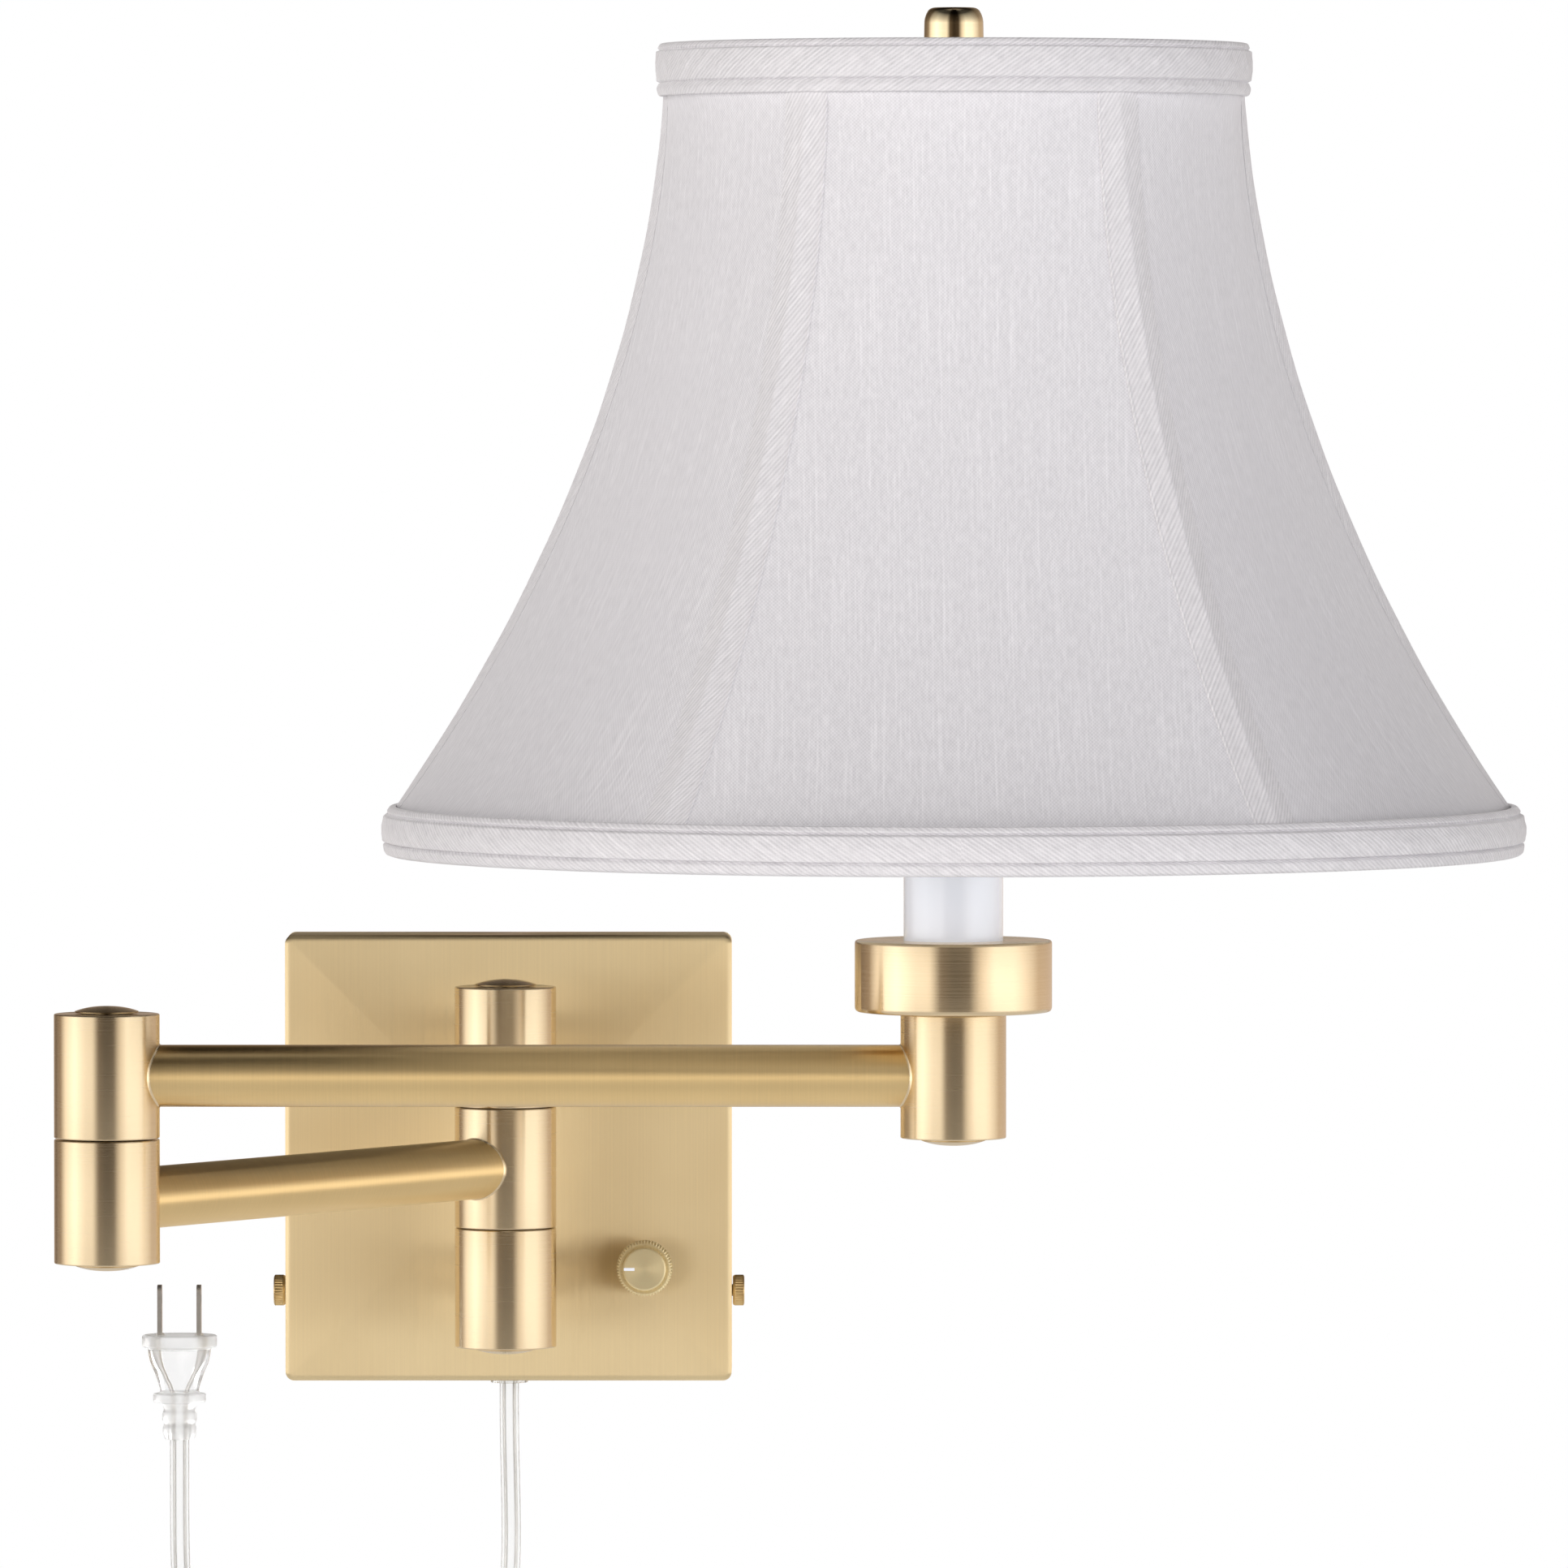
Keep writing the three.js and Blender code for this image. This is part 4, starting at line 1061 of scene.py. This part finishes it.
shadeClothPiece, shadeLiningPiece = shadeCloth()
tapeNames = ["front_left", "front_right", "right", "back_right", "back_left", "left"]
tapes = [tapePiece(k, "tape" + name.title().replace("_", ""), "shade_tape_" + name,
                   1 if k % 2 == 0 else -1)
         for k, name in enumerate(tapeNames)]
softPuckers = [(0.1, 31, 0.5), (0.08, 53, -0.7), (0.06, 97, 0.9), (0.05, 151, 1.3)]
topBand = trimPiece("topBand", "shade_top_trim", [
    (88.2, 338.4, 0.3), (90.2, 338.4, 0.6), (90.8, 340.6, 0.7), (90.2, 342.2, 0.3),
    (89.7, 342.4, 0.1), (90.9, 343.0, 0.4), (91.3, 347.5, 1.5), (90.9, 352.0, 0.5),
    (89.9, 352.3, 0.1), (90.5, 353.0, 0.3), (89.8, 354.5, 0.8), (88.0, 354.4, 0.5),
    (87.0, 352.6, 0.4), (88.2, 351, 0.5),
], softPuckers)
bottomBand = trimPiece("bottomBand", "shade_bottom_trim", [
    (170.6, 121.4, 0.3), (172.6, 121.4, 0.5), (173.6, 119.9, 0.5), (173.2, 119.4, 0.2),
    (172.9, 119.2, 0.1), (174.5, 118.6, 0.5), (175.3, 114.6, 1.5), (174.8, 110.9, 0.4),
    (173.5, 110.6, 0.1), (174.6, 109.8, 0.5), (174.3, 107.2, 0.8), (172.6, 106.5, 0.5),
    (171.9, 107.6, 0.4), (172.4, 117.6, 0.5),
], softPuckers)
print("shade made")


cordLook = {
    "width": 6.2,
    "thickness": 2.7,
    "length": 1.83,
    "coilCentre": (-53.0, -8.0, -187.0),
    "outerTurn": 38.9,
    "pitch": 2.75,
    "layer": 3.2,
    "entry": math.radians(-22),
    "sweep": math.radians(7 * 360 + 136),
    "twistFrom": -150,
    "twistOver": 40,
    "insideCoil": 42,
    "waist": 0.3,
    "waistWidth": 0.8,
    "wireSide": 1.6,
    "wireRadius": 0.5,
}
leadRoute = [
    (0, -12.5, -67.5), (0, -12.5, -73.6), (0, -12.5, -82), (0.1, -12.4, -92), (0.3, -12.1, -102),
    (0.5, -11.8, -112), (0.6, -11.5, -122), (0.4, -11.3, -132), (-0.2, -11.2, -142),
    (-1.3, -11.2, -151), (-3.1, -11.2, -160), (-5.6, -11.2, -170), (-8.7, -11.2, -180),
    (-12.5, -11.2, -190.5),
]
tailRoute = [
    (-93.3, -4.8, -190.5), (-97.2, -5, -180), (-100.4, -5.6, -170), (-103, -6.8, -160),
    (-105, -8.3, -150), (-106.2, -10, -140), (-106.6, -11.4, -130), (-106.7, -12.4, -120),
    (-106.7, -12.9, -110), (-106.7, -13, -101), (-106.7, -13, -92.4), (-106.7, -13, -86),
]


# Coil: clockwise seen from the front, spiralling in by one pitch a turn in the front layer,
# stepping back at the middle, and spiralling out again in the back layer.
def coilTurns():
    look = cordLook
    count = 24 * 8
    share = np.linspace(0, 1, count)
    angle = look["entry"] - share * look["sweep"]
    turns = look["sweep"] / (2 * np.pi)
    radius = look["outerTurn"] - look["pitch"] * turns * (0.5 - np.abs(share - 0.5))
    step = np.clip((share - 0.5) * turns * 4 + 0.5, 0, 1)
    depth = look["layer"] * (2 * step * step * (3 - 2 * step) - 1)
    centre = np.array(look["coilCentre"])
    return centre + np.stack([radius * np.cos(angle), depth, radius * np.sin(angle)], axis=-1)


# Twist: the flat side faces forward on the straight stretches and lies against the next
# turn in the coil, so the cord turns a quarter way over the last few centimetres.
def cordTwist(path):
    look = cordLook
    x, z = path[:, 0] / mm, path[:, 2] / mm
    share = np.clip((look["twistFrom"] - z) / look["twistOver"], 0, 1)
    centre = look["coilCentre"]
    inner = np.hypot(x - centre[0], z - centre[2]) < look["insideCoil"]
    return np.pi / 2 * np.where(inner, 1, share * share * (3 - 2 * share))


def cordPieces():
    look = cordLook
    route = np.concatenate([leadRoute, coilTurns(), tailRoute])
    path = smoothPath(route, 4) * mm
    twist = cordTwist(path)
    angle = roundAngles(20)
    x = look["width"] / 2 * np.cos(angle)
    waist = 1 - look["waist"] * np.exp(-(x / look["waistWidth"]) ** 2)
    y = look["thickness"] / 2 * np.sin(angle) * waist
    section = np.stack([x, y], axis=-1) * mm
    cord = sweptPiece("cord", path, section, clearVinyl, twist=twist, smooth=70)
    wire = roundSection(look["wireRadius"] * mm, 8)
    conductors = []
    for side in (-1, 1):
        offset = np.array([[side * look["wireSide"] * mm, 0]])
        line = sweptPoints(path, offset, twist=twist)[:, 0]
        conductors.append(sweptPiece("conductor", line[2:-1], wire, strandMetal))
    conductors = joinPieces("conductors", conductors)
    finishPiece(conductors, "wall_plate", "zinc_steel")
    finishPiece(cord, "wall_plate", "clear_plastic", "cord_lead", "cord_coil", "cord_tail")
    return cord, conductors, path


plugLook = {
    "outline": [
        (0, 0), (12.1, 0, 0.7), (12.1, -3.7, 0.7), (10.2, -4.2, 0.6), (10.1, -7.4, 3), (7.2, -14, 4),
        (6.0, -18.6, 1.2), (8.5, -19, 0.6), (8.5, -21.6, 0.6), (5.9, -22.2, 0.8), (4.9, -24, 0.8),
        (5.6, -25.4, 0.7), (5.6, -27.6, 0.7), (4.9, -28.8, 0.7), (5.4, -30, 0.6), (5.4, -31.8, 0.6),
        (4.6, -33.9, 0.7), (0, -33.9),
    ],
    "flat": 0.84,
    "crimp": [(6.35, 0.5), (6.2, -4), (5.4, -8), (3.4, -13.5), (1.8, -19), (1.6, -30)],
    "bladeHalf": 3.1,
    "bladeThickness": 1.4,
    "tipEase": 1.8,
    "hole": 1.6,
    "holeDown": 4.4,
}


# Plug: a thin flange, a bell that narrows to a collar, and three soft rings, all oval.
def plugPieces():
    look = plugLook
    centre = middle("plug_body")
    place = np.array([centre[0], centre[1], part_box("plug_body")[1].z])
    outline = easedOutline(look["outline"], steps=7)
    angle = roundAngles(96, np.pi / 2)
    radius = outline[:, :1]
    points = np.stack([
        radius * np.cos(angle), look["flat"] * radius * np.sin(angle),
        np.repeat(outline[:, 1:], len(angle), axis=1),
    ], axis=-1) + place
    top = place[2]
    frosted = frostedVinyl("plugVinyl", [
        (top - 4.3 * mm, top + 1 * mm), (top - 40 * mm, top - 18.4 * mm),
    ])
    body = gridPiece("plugBody", points, frosted, smooth=50)
    finishPiece(body, "wall_plate", "clear_plastic", "plug_body")
    pieces = [body]
    for name, node in (("bladeLeft", "plug_blade_left"), ("bladeRight", "plug_blade_right")):
        pieces.append(bladePiece(name, node))
    crimps = []
    for side in (-1, 1):
        route = [(side * x, 0, z) for x, z in look["crimp"]]
        line = smoothPath(route, 8) * mm + place
        size = np.interp(np.arange(len(line)), [0, 8, 16, 22, 40], [1.5, 1.5, 1.1, 0.62, 0.62]) * mm
        ring = roundSection(1, 12)
        crimps.append(gridPiece("crimp", capped(sweptPoints(line, ring, scale=size)), strandMetal))
    crimps = joinPieces("crimps", crimps)
    finishPiece(crimps, "wall_plate", "zinc_steel")
    return pieces + [crimps]


# Blade: a flat bar, seen edge on from the front, with a rounded tip and a round hole.
def bladePiece(name, node):
    look = plugLook
    low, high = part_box(node)
    centre = middle(node)
    half, foot, tip = look["bladeHalf"], low.z / mm - 4, high.z / mm
    outline = easedOutline([
        (-half, foot), (half, foot), (half, tip, look["tipEase"]), (-half, tip, look["tipEase"]),
    ], steps=7, loop=True)
    holeAt = high.z - look["holeDown"] * mm
    holeRadius = look["hole"] * mm
    work = bmesh.new()
    rims = []
    for x in np.array([-0.5, 0.5]) * look["bladeThickness"] * mm:
        outer = [work.verts.new((centre[0] + x, centre[1] + y, z)) for y, z in outline]
        hole = [work.verts.new((centre[0] + x, centre[1] + holeRadius * math.cos(turn),
                                holeAt + holeRadius * math.sin(turn))) for turn in roundAngles(28)]
        edges = [work.edges.new((ring[k], ring[(k + 1) % len(ring)])) for ring in (outer, hole)
                 for k in range(len(ring))]
        bmesh.ops.triangle_fill(work, edges=edges, use_beauty=True)
        rims.append((outer, hole))
    for first, second in zip(*rims):
        for k in range(len(first)):
            n = (k + 1) % len(first)
            work.faces.new((first[k], first[n], second[n], second[k]))
    bmesh.ops.recalc_face_normals(work, faces=work.faces)
    mesh = bpy.data.meshes.new(name)
    work.to_mesh(mesh)
    work.free()
    mesh.materials.append(bladeMetal)
    piece = bpy.data.objects.new(name, mesh)
    scene.collection.objects.link(piece)
    return finishPiece(piece, "wall_plate", "zinc_steel", node)


cord, conductors, cordPath = cordPieces()
plugParts = plugPieces()
print("cord and plug made")


cadFinishes = {
    "wall_bracket": zincSteel, "standoff_nut_upper": zincSteel, "standoff_nut_lower": zincSteel,
    "column_pivot_tube": zincSteel, "elbow_pivot_tube": zincSteel, "socket_nipple": zincSteel,
    "shade_frame": zincSteel, "dimmer_nut": zincSteel, "dimmer_body": matteBlack,
    "socket_insert": matteBlack, "hub_bushing": nylonWhite, "elbow_bushing": nylonWhite,
    "cord_tie": glossWhitePaintedGlow, "cord_grommet": clearVinyl, "wire_connector_left": glossWhitePaintedGlow,
    "wire_connector_right": glossWhitePaintedGlow, "harp_saddle": saddleBrass,
}
for nodeName, material in cadFinishes.items():
    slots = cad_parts[nodeName].data.materials
    if slots:
        slots[0] = material
    else:
        slots.append(material)


# Pale floor far below, so that it hides nothing from below; it glows a little, as lit paper.
def makeFloor():
    size = studio["floorReach"]
    drop = -studio["floorDrop"]
    vertices = np.array([(-size, -size, drop), (size, -size, drop), (size, size, drop),
                         (-size, size, drop)])
    paper = plainFinish("floorPaper", (0.86, 0.86, 0.86), (0.88, 0.88, 0.88), (0.6, 0.7),
                        density=(3, 3, 3), depth=0.0, Emission_Strength=0.5,
                        Emission_Color=(1, 1, 1, 1))
    meshPiece("floor", vertices, [(0, 1, 2, 3)], None, paper)


makeFloor()
